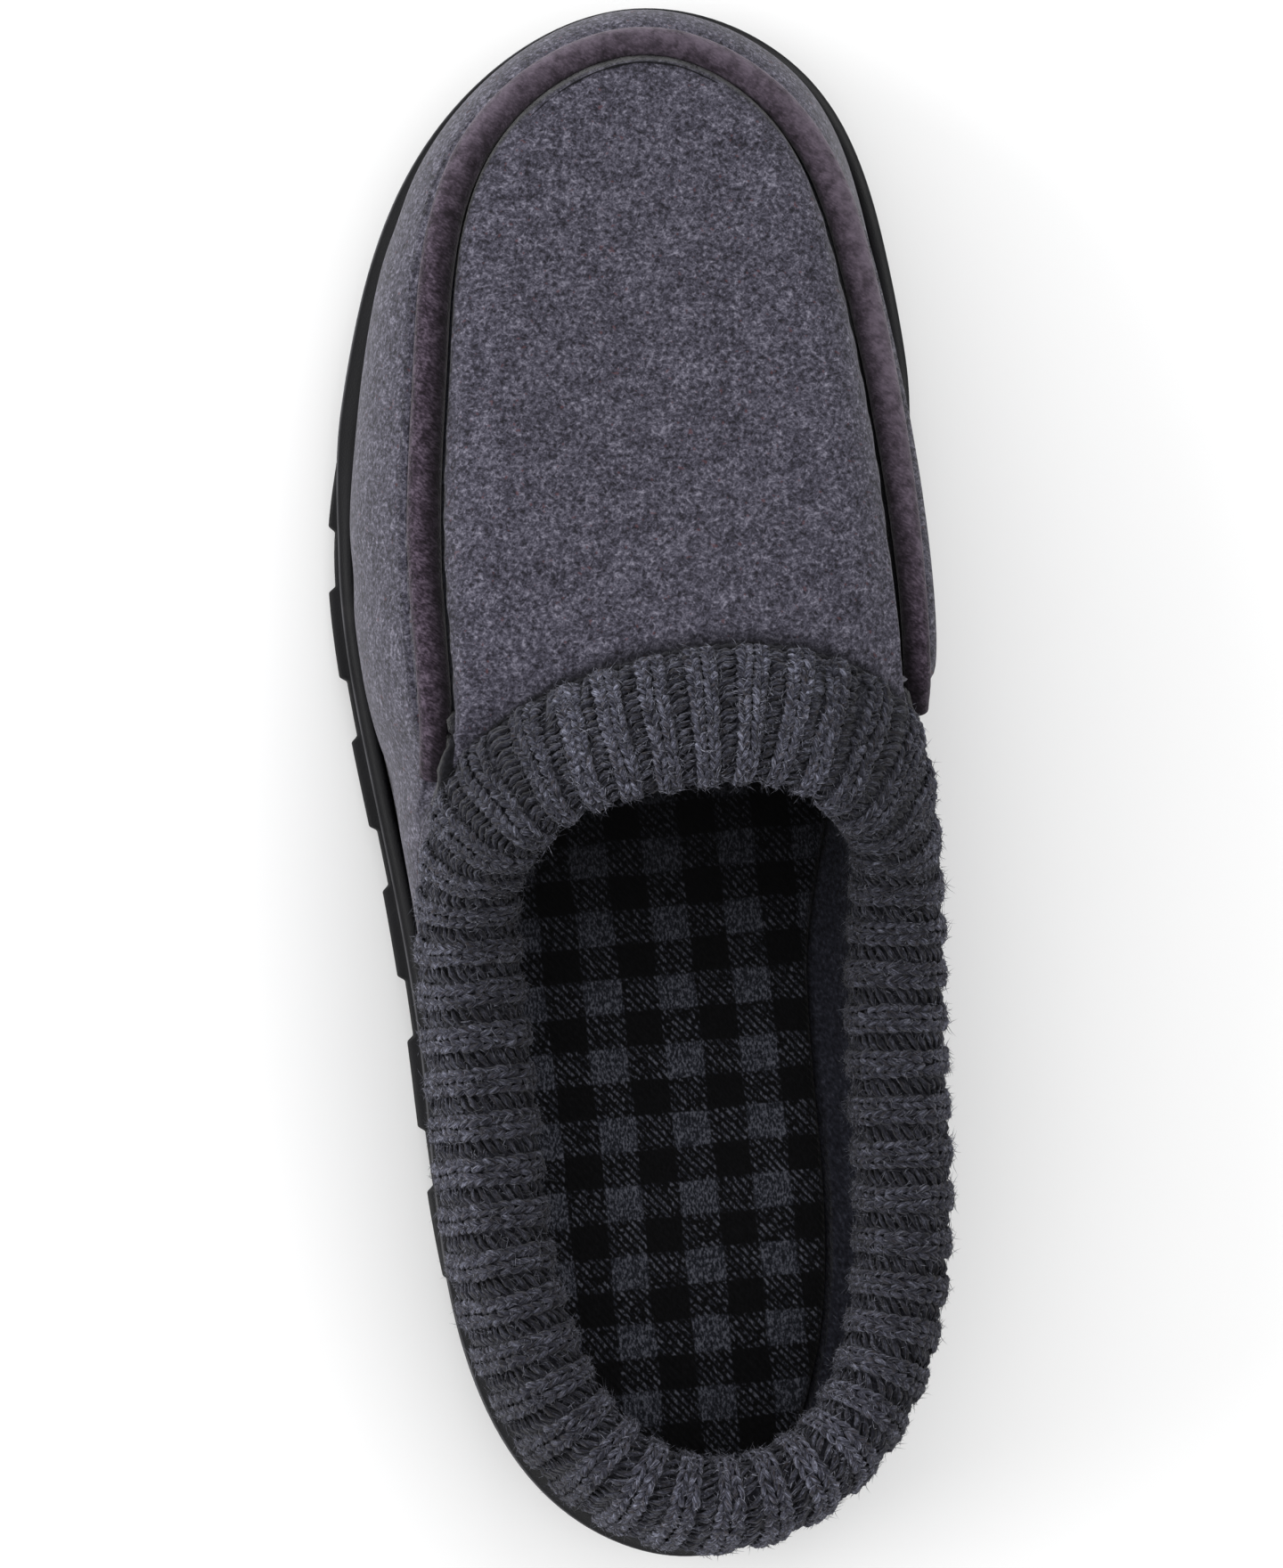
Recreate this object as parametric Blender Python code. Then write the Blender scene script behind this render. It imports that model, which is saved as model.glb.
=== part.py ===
"""A left slipper: rubber outsole, felt upper with a moccasin seam, rib-knit collar and padded insole.

Metres, +Z up, +Y to the toe, +X to the inner side. The origin is under the middle of the whole slipper.
Places in the tables are shares: "across" of the width there, "along" of LENGTH, and "up" of the upper's
height there, measured from the footbed platform.
"""
import math

import bpy
import numpy as np

# Driving dimensions
LENGTH = 0.294
BALL_WIDTH = 0.1146
HEEL_WIDTH = 0.0825
INSTEP_HEIGHT = 0.071
HEEL_HEIGHT = 0.047
TOE_HEIGHT = 0.024

# Outsole
BALL_SOLE = 0.015
HEEL_SOLE = 0.024
TOE_SPRING = 0.008
ARCH_LIFT = 0.0025
HEEL_ROLL = 0.003
LIP_HEIGHT = 0.0025
LIP_WIDTH = 0.0016
LIP_INSET = 0.0024
RIDGE_INSET = 0.0015
LUG_LENGTH = 0.0160
LUG_PITCH = 0.0285
LUG_PROUD = 0.0013
LUG_EDGE = 0.0014
LUG_LEAN = 0.0004
SHOULDER_INSET = 0.0006
RIDGE_ROUND = 0.0007
LUG_TUCK = 0.0013
TREAD_DEPTH = 0.0030
TREAD_BEVEL = 0.0022
SOLE_STEP = 0.0075

# Upper
VAMP_WALL = 0.0035
QUARTER_WALL = 0.0070
OUTER_BULGE = 0.0028
INNER_BULGE = -0.0004
QUARTER_BULGE = 0.0060
APRON_PUFF = 0.0016
PUFF_REACH = 0.008
UPPER_STATIONS = 80
OUTER_WALL_ROWS = (0.0, 0.22, 0.48, 0.76)
APRON_ROWS = (0.05, 0.16, 0.34, 0.55, 0.77, 1.0)
INNER_APRON_ROWS = (0.0, 0.3, 0.65, 1.0)

# Seam piping
PIPING_RADIUS = 0.0030
PIPING_LIFT = 0.0008
PIPING_SIDES = 8
GROOVE_ROOM = 0.75
GROOVE_ANGLES = (-90, -54, -18, 18, 54, 90)

# Knitted collar
COLLAR_THICKNESS = 0.019
RIB_COUNT = 48
RIB_WAVE = (1.0, 1.0, 0.0)
RIB_DEPTH = 0.0012
COLLAR_SIDES = 12
COLLAR_SQUARENESS = 2.6

# Insole
INSOLE_THICKNESS = 0.0055
INSOLE_EDGE = 0.0020

# Gap that separate pieces keep between them
GAP = 0.0003

# Columns: station, across, along. From the heel up the outer side and back down the inner side.
OUTLINE = (
    ("heel_back", -0.058, -0.500),
    ("heel_corner_out", -0.374, -0.460),
    ("heel_out", -0.562, -0.354),
    ("waist_out", -0.588, -0.170),
    ("side_out", -0.533, -0.044),
    ("joint_out", -0.511, 0.041),
    ("ball_out", -0.500, 0.150),
    ("toe_out", -0.446, 0.279),
    ("toe_corner_out", -0.282, 0.424),
    ("toe_tip", 0.082, 0.500),
    ("toe_corner_in", 0.374, 0.444),
    ("toe_in", 0.480, 0.325),
    ("ball_in", 0.500, 0.224),
    ("joint_in", 0.457, 0.061),
    ("side_in", 0.429, -0.048),
    ("waist_in", 0.445, -0.170),
    ("heel_in", 0.436, -0.340),
    ("heel_corner_in", 0.263, -0.459),
)

# Columns: station, across, along, up, crown (share of INSTEP_HEIGHT). The moccasin seam round the vamp,
# and behind it the middle of the plain wall. The crown is how far the apron swells above a straight line
# from the seam to the collar.
SEAM = (
    ("heel_back", -0.058, -0.484, 0.170, 0.0),
    ("heel_corner_out", -0.362, -0.449, 0.170, 0.0),
    ("heel_out", -0.545, -0.352, 0.160, 0.0),
    ("waist_out", -0.568, -0.170, 0.160, 0.0),
    ("side_out", -0.490, -0.046, 0.250, 0.0),
    ("joint_out", -0.435, 0.018, 0.560, 0.01),
    ("ball_out", -0.395, 0.143, 0.613, 0.05),
    ("toe_out", -0.350, 0.272, 0.705, 0.05),
    ("toe_corner_out", -0.222, 0.417, 0.901, 0.01),
    ("toe_tip", 0.078, 0.468, 0.824, -0.02),
    ("toe_corner_in", 0.281, 0.414, 0.898, 0.01),
    ("toe_in", 0.360, 0.311, 0.754, 0.05),
    ("ball_in", 0.382, 0.218, 0.637, 0.05),
    ("joint_in", 0.399, 0.041, 0.600, 0.01),
    ("side_in", 0.428, -0.052, 0.270, 0.0),
    ("waist_in", 0.445, -0.170, 0.160, 0.0),
    ("heel_in", 0.420, -0.340, 0.160, 0.0),
    ("heel_corner_in", 0.248, -0.449, 0.170, 0.0),
)

# Columns: station, foot across, foot along, foot up, crest across, crest along, crest up,
# thickness (share of COLLAR_THICKNESS). The foot meets the felt and the crest is the opening's edge.
COLLAR = (
    ("heel_back", -0.058, -0.474, 0.277, -0.058, -0.444, 1.000, 0.86),
    ("heel_corner_out", -0.338, -0.439, 0.266, -0.308, -0.415, 0.989, 0.88),
    ("heel_out", -0.496, -0.349, 0.245, -0.460, -0.341, 0.947, 0.94),
    ("waist_out", -0.515, -0.170, 0.246, -0.484, -0.167, 0.781, 1.00),
    ("side_out", -0.456, -0.048, 0.384, -0.422, -0.068, 0.781, 0.88),
    ("joint_out", -0.411, 0.015, 0.625, -0.330, -0.036, 0.910, 0.62),
    ("ball_out", -0.336, 0.041, 0.718, -0.267, -0.020, 0.955, 0.52),
    ("toe_out", -0.238, 0.061, 0.795, -0.202, -0.012, 0.983, 0.49),
    ("toe_corner_out", -0.124, 0.074, 0.841, -0.114, -0.007, 1.005, 0.49),
    ("toe_tip", 0.046, 0.081, 0.859, 0.016, -0.005, 1.012, 0.49),
    ("toe_corner_in", 0.159, 0.076, 0.845, 0.084, -0.007, 1.003, 0.49),
    ("toe_in", 0.263, 0.063, 0.802, 0.143, -0.013, 0.983, 0.49),
    ("ball_in", 0.337, 0.047, 0.735, 0.196, -0.024, 0.952, 0.52),
    ("joint_in", 0.390, 0.026, 0.638, 0.248, -0.039, 0.907, 0.60),
    ("side_in", 0.425, -0.055, 0.398, 0.351, -0.075, 0.784, 0.88),
    ("waist_in", 0.443, -0.170, 0.255, 0.396, -0.170, 0.785, 1.00),
    ("heel_in", 0.404, -0.339, 0.255, 0.362, -0.334, 0.947, 0.94),
    ("heel_corner_in", 0.233, -0.441, 0.266, 0.197, -0.416, 0.989, 0.88),
)

# Columns: level, inset from the outline, how much further in where the sole isn't flared (both in metres),
# up (share of the sole's height), lug share, lip share
SOLE_LEVELS = (
    ("tread", TREAD_BEVEL, LUG_TUCK, 0.0, 1.0, 0.0),
    ("lug_foot", LUG_LEAN, LUG_TUCK, 0.16, 1.0, 0.0),
    ("lug_top", 0.0, LUG_TUCK, 0.50, 1.0, 0.0),
    ("lug_shoulder", RIDGE_INSET + SHOULDER_INSET, -RIDGE_INSET, 0.60, 0.0, 0.0),
    ("ridge_low", RIDGE_INSET, -RIDGE_INSET, 0.72, 0.0, 0.0),
    ("ridge", RIDGE_INSET, -RIDGE_INSET, 0.82, 0.0, 0.0),
    ("ridge_top", RIDGE_INSET + RIDGE_ROUND, -RIDGE_INSET, 0.88, 0.0, 0.0),
    ("lip_outer", LIP_INSET, 0.0, 1.0, 0.0, 1.0),
    ("lip_inner", LIP_INSET + LIP_WIDTH, 0.0, 1.0, 0.0, 1.0),
    ("platform", LIP_INSET + LIP_WIDTH, 0.0, 1.0, 0.0, 0.0),
)

# Columns: material, colour, roughness
FINISHES = {
    "black_rubber": ((0.018, 0.018, 0.020), 0.62),
    "grey_felt": ((0.085, 0.082, 0.100), 0.95),
    "plum_suede": ((0.060, 0.045, 0.060), 0.92),
    "charcoal_knit": ((0.050, 0.050, 0.062), 0.95),
    "check_cloth": ((0.016, 0.016, 0.019), 0.95),
}

COUNT = len(OUTLINE)
TOE_STATION = COUNT // 2

# Where the shape changes, from and to, in shares of LENGTH
WIDENING = (-0.25, 0.15)
REAR_SLOPE = (-0.30, 0.0)
FRONT_SLOPE = (0.10, 0.48)
SPRING_SPAN = (0.18, 0.50)
WEDGE_SPAN = (-0.30, 0.08)
ARCH_RISE = (-0.22, -0.12)
ARCH_FALL = (-0.06, 0.04)
ROLL_SPAN = (0.43, 0.50)
FLARE_RISE = (-0.40, -0.12)
FLARE_FALL = (0.16, 0.26)
THIN_WALL = (-0.14, -0.01)

# Station numbers round the toe, over which the outer side's bulge gives way to the inner side's
BULGE_CHANGE = (8.0, 10.5)

# Station numbers between which the groove deepens behind the joint, and where its roll ends at the collar
GROOVE_FADE = (4.4, 5.1)
PIPING_ENDS = (5.2, COUNT - 5.05)
UP = np.array((0.0, 0.0, 1.0))


def ease(value, start, end):
    """Rise smoothly from 0 at start to 1 at end."""
    share = min(1.0, max(0.0, (value - start) / (end - start)))
    return share * share * (3 - 2 * share)


def unit(vector):
    return vector / np.linalg.norm(vector)


def local_width(along):
    return HEEL_WIDTH + (BALL_WIDTH - HEEL_WIDTH) * ease(along, *WIDENING)


def local_height(along):
    rear = ease(along, *REAR_SLOPE)
    front = ease(along, *FRONT_SLOPE)
    return HEEL_HEIGHT * (1 - rear) + INSTEP_HEIGHT * (rear - front) + TOE_HEIGHT * front


def toe_lift(along):
    start, end = SPRING_SPAN
    return TOE_SPRING * (max(0.0, along - start) / (end - start)) ** 2


def platform(along):
    """Height of the sole's upper face."""
    return BALL_SOLE + (HEEL_SOLE - BALL_SOLE) * (1 - ease(along, *WEDGE_SPAN)) + toe_lift(along)


def tread(along):
    """Height of the sole's walking face: flat at heel and ball, lifted at arch, toe and heel back."""
    arch = ARCH_LIFT * ease(along, *ARCH_RISE) * (1 - ease(along, *ARCH_FALL))
    return arch + toe_lift(along) + HEEL_ROLL * ease(-along, *ROLL_SPAN)


def flare(along):
    """1 where the lugs stand proud of the ridge above them, 0 where they are tucked under it."""
    return ease(along, *FLARE_RISE) * (1 - ease(along, *FLARE_FALL))


def place(across, along, up):
    return (across * local_width(along), along * LENGTH, platform(along) + up * local_height(along))


def closed_spline(points, guide=None):
    """A smooth closed curve through the points, read by station number."""
    points = np.array(points, float)
    guide = points if guide is None else np.array(guide, float)
    count = len(points)
    steps = np.linalg.norm(np.roll(guide, -1, axis=0) - guide, axis=1)
    slopes = (np.roll(points, -1, axis=0) - points) / steps[:, None]
    matrix = np.zeros((count, count))
    right = np.zeros_like(points)
    for row in range(count):
        before = row - 1
        matrix[row, before] += steps[row]
        matrix[row, row] += 2 * (steps[before] + steps[row])
        matrix[row, (row + 1) % count] += steps[before]
        right[row] = 3 * (steps[row] * slopes[before] + steps[before] * slopes[row])
    tangents = np.linalg.solve(matrix, right)

    def read(station):
        station = station % count
        row = int(station)
        t = station - row
        after = (row + 1) % count
        start = (2 * t ** 3 - 3 * t ** 2 + 1) * points[row] + (t ** 3 - 2 * t ** 2 + t) * steps[row] * tangents[row]
        finish = (3 * t ** 2 - 2 * t ** 3) * points[after] + (t ** 3 - t ** 2) * steps[row] * tangents[after]
        return start + finish

    return read


def walk(read, start, end):
    """Station numbers along a curve, and how far along it each one lies."""
    fine = np.linspace(start, end, 60 * COUNT + 1)
    points = np.array([read(station) for station in fine])
    return fine, np.concatenate(([0.0], np.cumsum(np.linalg.norm(np.diff(points, axis=0), axis=1))))


def even_stations(read, count, start=0.0, end=float(COUNT)):
    """Station numbers an equal distance apart along a curve."""
    fine, walked = walk(read, start, end)
    return list(np.interp(np.linspace(0, walked[-1], count, endpoint=False), walked, fine))


def paired_stations(count):
    """Stations round the sole, evenly spaced on each side, so that each has a partner across it."""
    outer = even_stations(outline_at, count // 2, 0.0, TOE_STATION)
    return outer + even_stations(outline_at, count // 2, TOE_STATION, COUNT)


outline_at = closed_spline([place(across, along, 0)[:2] for _, across, along in OUTLINE])
seam_at = closed_spline([place(*row[1:4]) for row in SEAM])
crown_at = closed_spline([(row[4],) for row in SEAM], guide=[place(*row[1:4]) for row in SEAM])
COLLAR_FEET = np.array([place(*row[1:4]) for row in COLLAR])
COLLAR_CRESTS = np.array([place(*row[4:7]) for row in COLLAR])
COLLAR_SHARES = np.array([(row[7],) for row in COLLAR])
collar_at = closed_spline(np.hstack((COLLAR_FEET, COLLAR_CRESTS, COLLAR_SHARES)),
                          guide=(COLLAR_FEET + COLLAR_CRESTS) / 2)


def outward_at(station):
    """The outline's plan normal, pointing away from the foot."""
    ahead = outline_at(station + 0.02) - outline_at(station - 0.02)
    return unit(np.array((-ahead[1], ahead[0], 0.0)))


def inset_point(station, inset):
    point = outline_at(station)
    return np.array((point[0], point[1], 0.0)) - outward_at(station) * inset


def wall_thickness(station):
    """The padded wall round the heel is thicker than the felt over the toes."""
    along = outline_at(station)[1] / LENGTH
    return VAMP_WALL + (QUARTER_WALL - VAMP_WALL) * (1 - ease(along, *THIN_WALL))


def collar_frame(station):
    """Middle, half axis from foot to crest, and half thickness of the collar's section."""
    row = collar_at(station)
    foot, crest, share = row[:3], row[3:6], row[6]
    ahead = collar_at(station + 0.02) - collar_at(station - 0.02)
    travel = unit((ahead[:3] + ahead[3:6]) / 2)
    axis = (crest - foot) / 2
    side = unit(np.cross(axis, travel))
    return (foot + crest) / 2, axis, side * share * COLLAR_THICKNESS / 2


def edge_at(station):
    """The felt's top edge, just below the collar's foot."""
    middle, axis, _ = collar_frame(station)
    return middle - axis - unit(axis) * GAP


def seam_share(station):
    """1 where the piping lies in its groove, 0 on the plain wall behind it."""
    return ease(min(station, COUNT - station), *GROOVE_FADE)


def seam_frame(station):
    """Seam point, the direction away from the foot, and the direction from wall to apron."""
    point = seam_at(station)
    travel = unit(seam_at(station + 0.02) - seam_at(station - 0.02))
    out = outward_at(station)
    share = seam_share(station)
    to_edge = unit(edge_at(station) - point)
    away = unit((UP - to_edge) * share + out * (1.2 - share) + UP * 0.25 * share)
    away = unit(away - travel * np.dot(away, travel))
    inner = np.cross(away, travel)
    inner = inner * (1 if np.dot(inner, to_edge) > 0 else -1)
    return point, away, unit(inner * share ** 2 + to_edge * (1 - share ** 2))


def groove_point(station, degrees, radius):
    """A place on the groove or the roll in it; 0 degrees is the bottom, +90 the apron's side."""
    point, away, inner = seam_frame(station)
    angle = math.radians(degrees)
    room = GROOVE_ROOM * np.linalg.norm(edge_at(station) - point) / (PIPING_RADIUS + GAP)
    across = math.sin(angle) * min(1.0, room)
    return point + away * PIPING_LIFT + radius * (across * inner - math.cos(angle) * away)


def foot_point(station):
    base = inset_point(station, LIP_INSET + LIP_WIDTH + GAP)
    base[2] = platform(base[1] / LENGTH) + GAP
    return base


def wall_bulge(station):
    return OUTER_BULGE + (INNER_BULGE - OUTER_BULGE) * ease(station, *BULGE_CHANGE)


def wall_point(station, share, end):
    """The felt wall, upright inside the sole's lip and then swelling out towards the seam."""
    start = foot_point(station) + UP * (LIP_HEIGHT + GAP)
    rise = end[2] - start[2]
    control = start + UP * 0.55 * rise + outward_at(station) * wall_bulge(station)
    return start * (1 - share) ** 2 + control * 2 * share * (1 - share) + end * share ** 2


def apron_point(station, share, start):
    end = edge_at(station)
    span = np.linalg.norm(end - start)
    crown = crown_at(station)[0] * INSTEP_HEIGHT * 4 * share * (1 - share)
    puff = APRON_PUFF * min(1.0, share * span / PUFF_REACH) * (1 - share)
    return start + (end - start) * share + UP * (crown + puff)


def plain_point(station, share):
    """The wall behind the seam, one soft bulge from the sole's lip up to the collar."""
    start = foot_point(station) + UP * (LIP_HEIGHT + GAP)
    end = edge_at(station)
    control = start * 0.4 + end * 0.6 + outward_at(station) * QUARTER_BULGE
    return start * (1 - share) ** 2 + control * 2 * share * (1 - share) + end * share ** 2


def merge_columns(station, vamp):
    """Fade the vamp's column of points into the plain wall's behind the joint."""
    share = seam_share(station)
    walked = np.concatenate(([0.0], np.cumsum(np.linalg.norm(np.diff(vamp, axis=0), axis=1))))
    plain = [plain_point(station, reach / walked[-1]) for reach in walked]
    return [a * share + b * (1 - share) for a, b in zip(vamp, plain)]


def outer_column(station):
    """The felt's outer face at one station, from the sole to the collar."""
    groove = PIPING_RADIUS + GAP
    lip = groove_point(station, GROOVE_ANGLES[0], groove)
    column = [wall_point(station, share, lip) for share in OUTER_WALL_ROWS]
    column += [groove_point(station, degrees, groove) for degrees in GROOVE_ANGLES]
    column += [apron_point(station, share, column[-1]) for share in APRON_ROWS]
    return [foot_point(station)] + merge_columns(station, column)


def smooth_column(station):
    """The same face without the groove, which the inner face follows."""
    seam = seam_at(station)
    column = [wall_point(station, share, seam) for share in OUTER_WALL_ROWS]
    column += [apron_point(station, share, seam) for share in INNER_APRON_ROWS]
    return [foot_point(station)] + merge_columns(station, column)


def inner_columns(stations):
    """The felt's inner face, one wall thickness inside the smooth face."""
    grid = np.array([smooth_column(station) for station in stations])
    around = np.roll(grid, -1, axis=0) - np.roll(grid, 1, axis=0)
    upward = np.gradient(grid, axis=1)
    normals = np.cross(upward, around)
    normals /= np.linalg.norm(normals, axis=2, keepdims=True)
    for column, station in enumerate(stations):
        share = seam_share(station)
        side = unit(collar_frame(station)[2])
        rim = side if np.dot(side, outward_at(station)) > 0 else -side
        last = len(grid[column]) - 1
        for row in range(last + 1):
            height = (row / last) ** 2
            face = unit(normals[column, row] * share + outward_at(station) * (1 - share))
            grid[column, row] -= unit(face * (1 - height) + rim * height) * wall_thickness(station)
        grid[column, 0, 2] = foot_point(station)[2]
    return grid


def ring_faces(first, second, count):
    return [(first + i, first + (i + 1) % count, second + (i + 1) % count, second + i) for i in range(count)]


def ladder_faces(first, count):
    """Cap a ring by joining each point on one side to its partner on the other."""
    faces = [(first, first + 1, first + count - 1)]
    for i in range(1, count // 2 - 1):
        faces.append((first + i, first + i + 1, first + count - i - 1, first + count - i))
    half = first + count // 2
    faces.append((half - 1, half, half + 1))
    return faces


def ring_mesh(name, rings, closed_section):
    """A solid from equal rings of points, joined round and round or capped by ladders at both ends."""
    count = len(rings[0])
    points = [tuple(point) for ring in rings for point in ring]
    faces = []
    for level in range(len(rings) - 1):
        faces += ring_faces(level * count, (level + 1) * count, count)
    if closed_section:
        faces += ring_faces((len(rings) - 1) * count, 0, count)
    else:
        faces += [tuple(reversed(face)) for face in ladder_faces(0, count)]
        faces += ladder_faces((len(rings) - 1) * count, count)
    return new_object(name, points, faces)


def new_object(name, points, faces):
    mesh = bpy.data.meshes.new(name)
    mesh.from_pydata(points, [], faces)
    mesh.validate()
    mesh.shade_smooth()
    mesh.set_sharp_from_angle(angle=math.radians(50))
    obj = bpy.data.objects.new(name, mesh)
    bpy.context.scene.collection.objects.link(obj)
    return obj


def face_outward(obj):
    """Turn all faces over if the solid's signed volume is negative."""
    mesh = obj.data
    points = np.array([vertex.co[:] for vertex in mesh.vertices])
    volume = 0.0
    for polygon in mesh.polygons:
        corners = points[list(polygon.vertices)]
        for i in range(1, len(corners) - 1):
            volume += np.dot(corners[0], np.cross(corners[i], corners[i + 1]))
    if volume < 0:
        mesh.flip_normals()


def finish(obj, finish_name):
    colour, roughness = FINISHES[finish_name]
    material = bpy.data.materials.new(finish_name)
    material.use_nodes = True
    shader = material.node_tree.nodes["Principled BSDF"]
    shader.inputs["Base Color"].default_value = (*colour, 1.0)
    shader.inputs["Roughness"].default_value = roughness
    shader.inputs["Metallic"].default_value = 0.0
    obj.data.materials.append(material)
    face_outward(obj)
    return obj


def lug_marks(reach):
    """Distances along one side of the sole with 1 on a lug and 0 in the hollow between lugs."""
    half = LUG_LENGTH / 2
    marks = [(0.0, 1.0), (half, 1.0), (half + LUG_EDGE, 0.0)]
    for number in range(1, int((reach - LUG_LENGTH) / LUG_PITCH) + 1):
        centre = number * reach / round(reach / LUG_PITCH)
        marks += [(centre - half - LUG_EDGE, 0.0), (centre - half, 1.0), (centre + half, 1.0)]
        marks.append((centre + half + LUG_EDGE, 0.0))
    marks += [(reach - half - LUG_EDGE, 0.0), (reach - half, 1.0), (reach, 1.0)]
    return marks


def lug_stations(start, end, reach):
    """Stations of one side of the sole, from start to end, with the lugs spread over its real length."""
    fine, walked = walk(outline_at, start, end)
    marks = lug_marks(reach)
    filled = []
    for (low, first), (high, second) in zip(marks, marks[1:]):
        steps = max(1, math.ceil((high - low) / SOLE_STEP))
        for step in range(steps):
            share = step / steps
            filled.append((low + (high - low) * share, first + (second - first) * share))
    filled.append(marks[-1])
    return [(float(np.interp(mark / reach * walked[-1], walked, fine)), lug) for mark, lug in filled]


def sole_ring(stations, inset, tuck, up, lug_share, lip_share):
    ring = []
    for station, lug in stations:
        hollow = (1 - lug) * lug_share
        tucked = tuck * (1 - flare(outline_at(station)[1] / LENGTH))
        point = inset_point(station, inset + tucked + hollow * LUG_PROUD)
        along = point[1] / LENGTH
        low = tread(along)
        if up == 0.0:
            low += hollow * TREAD_DEPTH
        point[2] = low + (platform(along) - low) * up + LIP_HEIGHT * lip_share
        ring.append(point)
    return ring


def make_outsole():
    reach = walk(outline_at, 0.0, TOE_STATION)[1][-1]
    outer = lug_stations(0.0, TOE_STATION, reach)
    inner = lug_stations(COUNT, TOE_STATION, reach)
    stations = outer + inner[1:-1][::-1]
    rings = [sole_ring(stations, *level[1:]) for level in SOLE_LEVELS]
    return finish(ring_mesh("outsole", rings, closed_section=False), "black_rubber")


def make_upper():
    stations = paired_stations(UPPER_STATIONS)
    outer = np.array([outer_column(station) for station in stations])
    inner = inner_columns(stations)[:, ::-1]
    rings = list(outer.swapaxes(0, 1)) + list(inner.swapaxes(0, 1))
    return finish(ring_mesh("upper", rings, closed_section=True), "grey_felt")


def make_seam_piping():
    stations = [s for s in paired_stations(UPPER_STATIONS) if PIPING_ENDS[0] < s < PIPING_ENDS[1]]
    angles = [360 * side / PIPING_SIDES - 90 for side in range(PIPING_SIDES)]
    sections = [[groove_point(station, angle, PIPING_RADIUS) for angle in angles] for station in stations]
    points = [tuple(point) for section in sections for point in section]
    faces = []
    for i in range(len(sections) - 1):
        faces += ring_faces(i * PIPING_SIDES, (i + 1) * PIPING_SIDES, PIPING_SIDES)
    last = (len(sections) - 1) * PIPING_SIDES
    faces.append(tuple(reversed(range(PIPING_SIDES))))
    faces.append(tuple(range(last, last + PIPING_SIDES)))
    return finish(new_object("seam_piping", points, faces), "plum_suede")


def collar_section(station, rib):
    """A rounded slab round the collar's axis; the hollows between ribs are drawn in."""
    middle, axis, side = collar_frame(station)
    reach = np.linalg.norm(axis)
    thick = np.linalg.norm(side)
    drawn = RIB_DEPTH * (1 - rib)
    section = []
    for corner in range(COLLAR_SIDES):
        angle = 2 * math.pi * (corner + 0.5) / COLLAR_SIDES
        up = math.copysign(abs(math.cos(angle)) ** (2 / COLLAR_SQUARENESS), math.cos(angle))
        out = math.copysign(abs(math.sin(angle)) ** (2 / COLLAR_SQUARENESS), math.sin(angle))
        section.append(middle + axis * up * (1 - drawn / reach) + side * out * (1 - drawn / thick))
    return section


def make_knit_collar():
    stations = even_stations(lambda station: collar_frame(station)[0], RIB_COUNT * len(RIB_WAVE))
    sections = [collar_section(s, RIB_WAVE[i % len(RIB_WAVE)]) for i, s in enumerate(stations)]
    rings = list(np.array(sections).swapaxes(0, 1))
    return finish(ring_mesh("knit_collar", rings, closed_section=True), "charcoal_knit")


def insole_ring(stations, inset, height):
    ring = []
    for station in stations:
        clear = LIP_INSET + LIP_WIDTH + GAP + wall_thickness(station) + GAP
        point = inset_point(station, clear + inset)
        point[2] = platform(point[1] / LENGTH) + GAP + height
        ring.append(point)
    return ring


def make_insole():
    stations = paired_stations(UPPER_STATIONS)
    rings = [
        insole_ring(stations, 0.0, 0.0),
        insole_ring(stations, 0.0, INSOLE_THICKNESS - INSOLE_EDGE),
        insole_ring(stations, INSOLE_EDGE * 0.3, INSOLE_THICKNESS - INSOLE_EDGE * 0.3),
        insole_ring(stations, INSOLE_EDGE, INSOLE_THICKNESS),
    ]
    return finish(ring_mesh("insole", rings, closed_section=False), "check_cloth")


def centre_on_origin(pieces):
    """Slide every piece so that the origin is under the middle and the tread is at zero height."""
    points = np.array([vertex.co[:] for piece in pieces for vertex in piece.data.vertices])
    low = points.min(axis=0)
    high = points.max(axis=0)
    shift = np.array(((low[0] + high[0]) / 2, (low[1] + high[1]) / 2, low[2]))
    for piece in pieces:
        for vertex in piece.data.vertices:
            vertex.co = np.array(vertex.co) - shift


def main():
    for obj in list(bpy.data.objects):
        bpy.data.objects.remove(obj, do_unlink=True)
    pieces = [make_outsole(), make_upper(), make_seam_piping(), make_knit_collar(), make_insole()]
    centre_on_origin(pieces)


main()
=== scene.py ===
"""The looks of a left slipper: felt upper, suede seam roll, rib-knit collar, check insole and rubber sole.

Metres, +Z up, +Y to the toe, +X to the inner side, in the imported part's own frame. The tables and the shape
functions repeat the part's: "across" is a share of the width there, "along" of LENGTH and "up" of the
upper's height there, from the footbed platform. Stations run from the heel up the outer side to the toe
and back down the inner side, and every function takes a whole array of them.
"""
import math

import bpy
import numpy as np
from mathutils import Matrix, Vector


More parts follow.
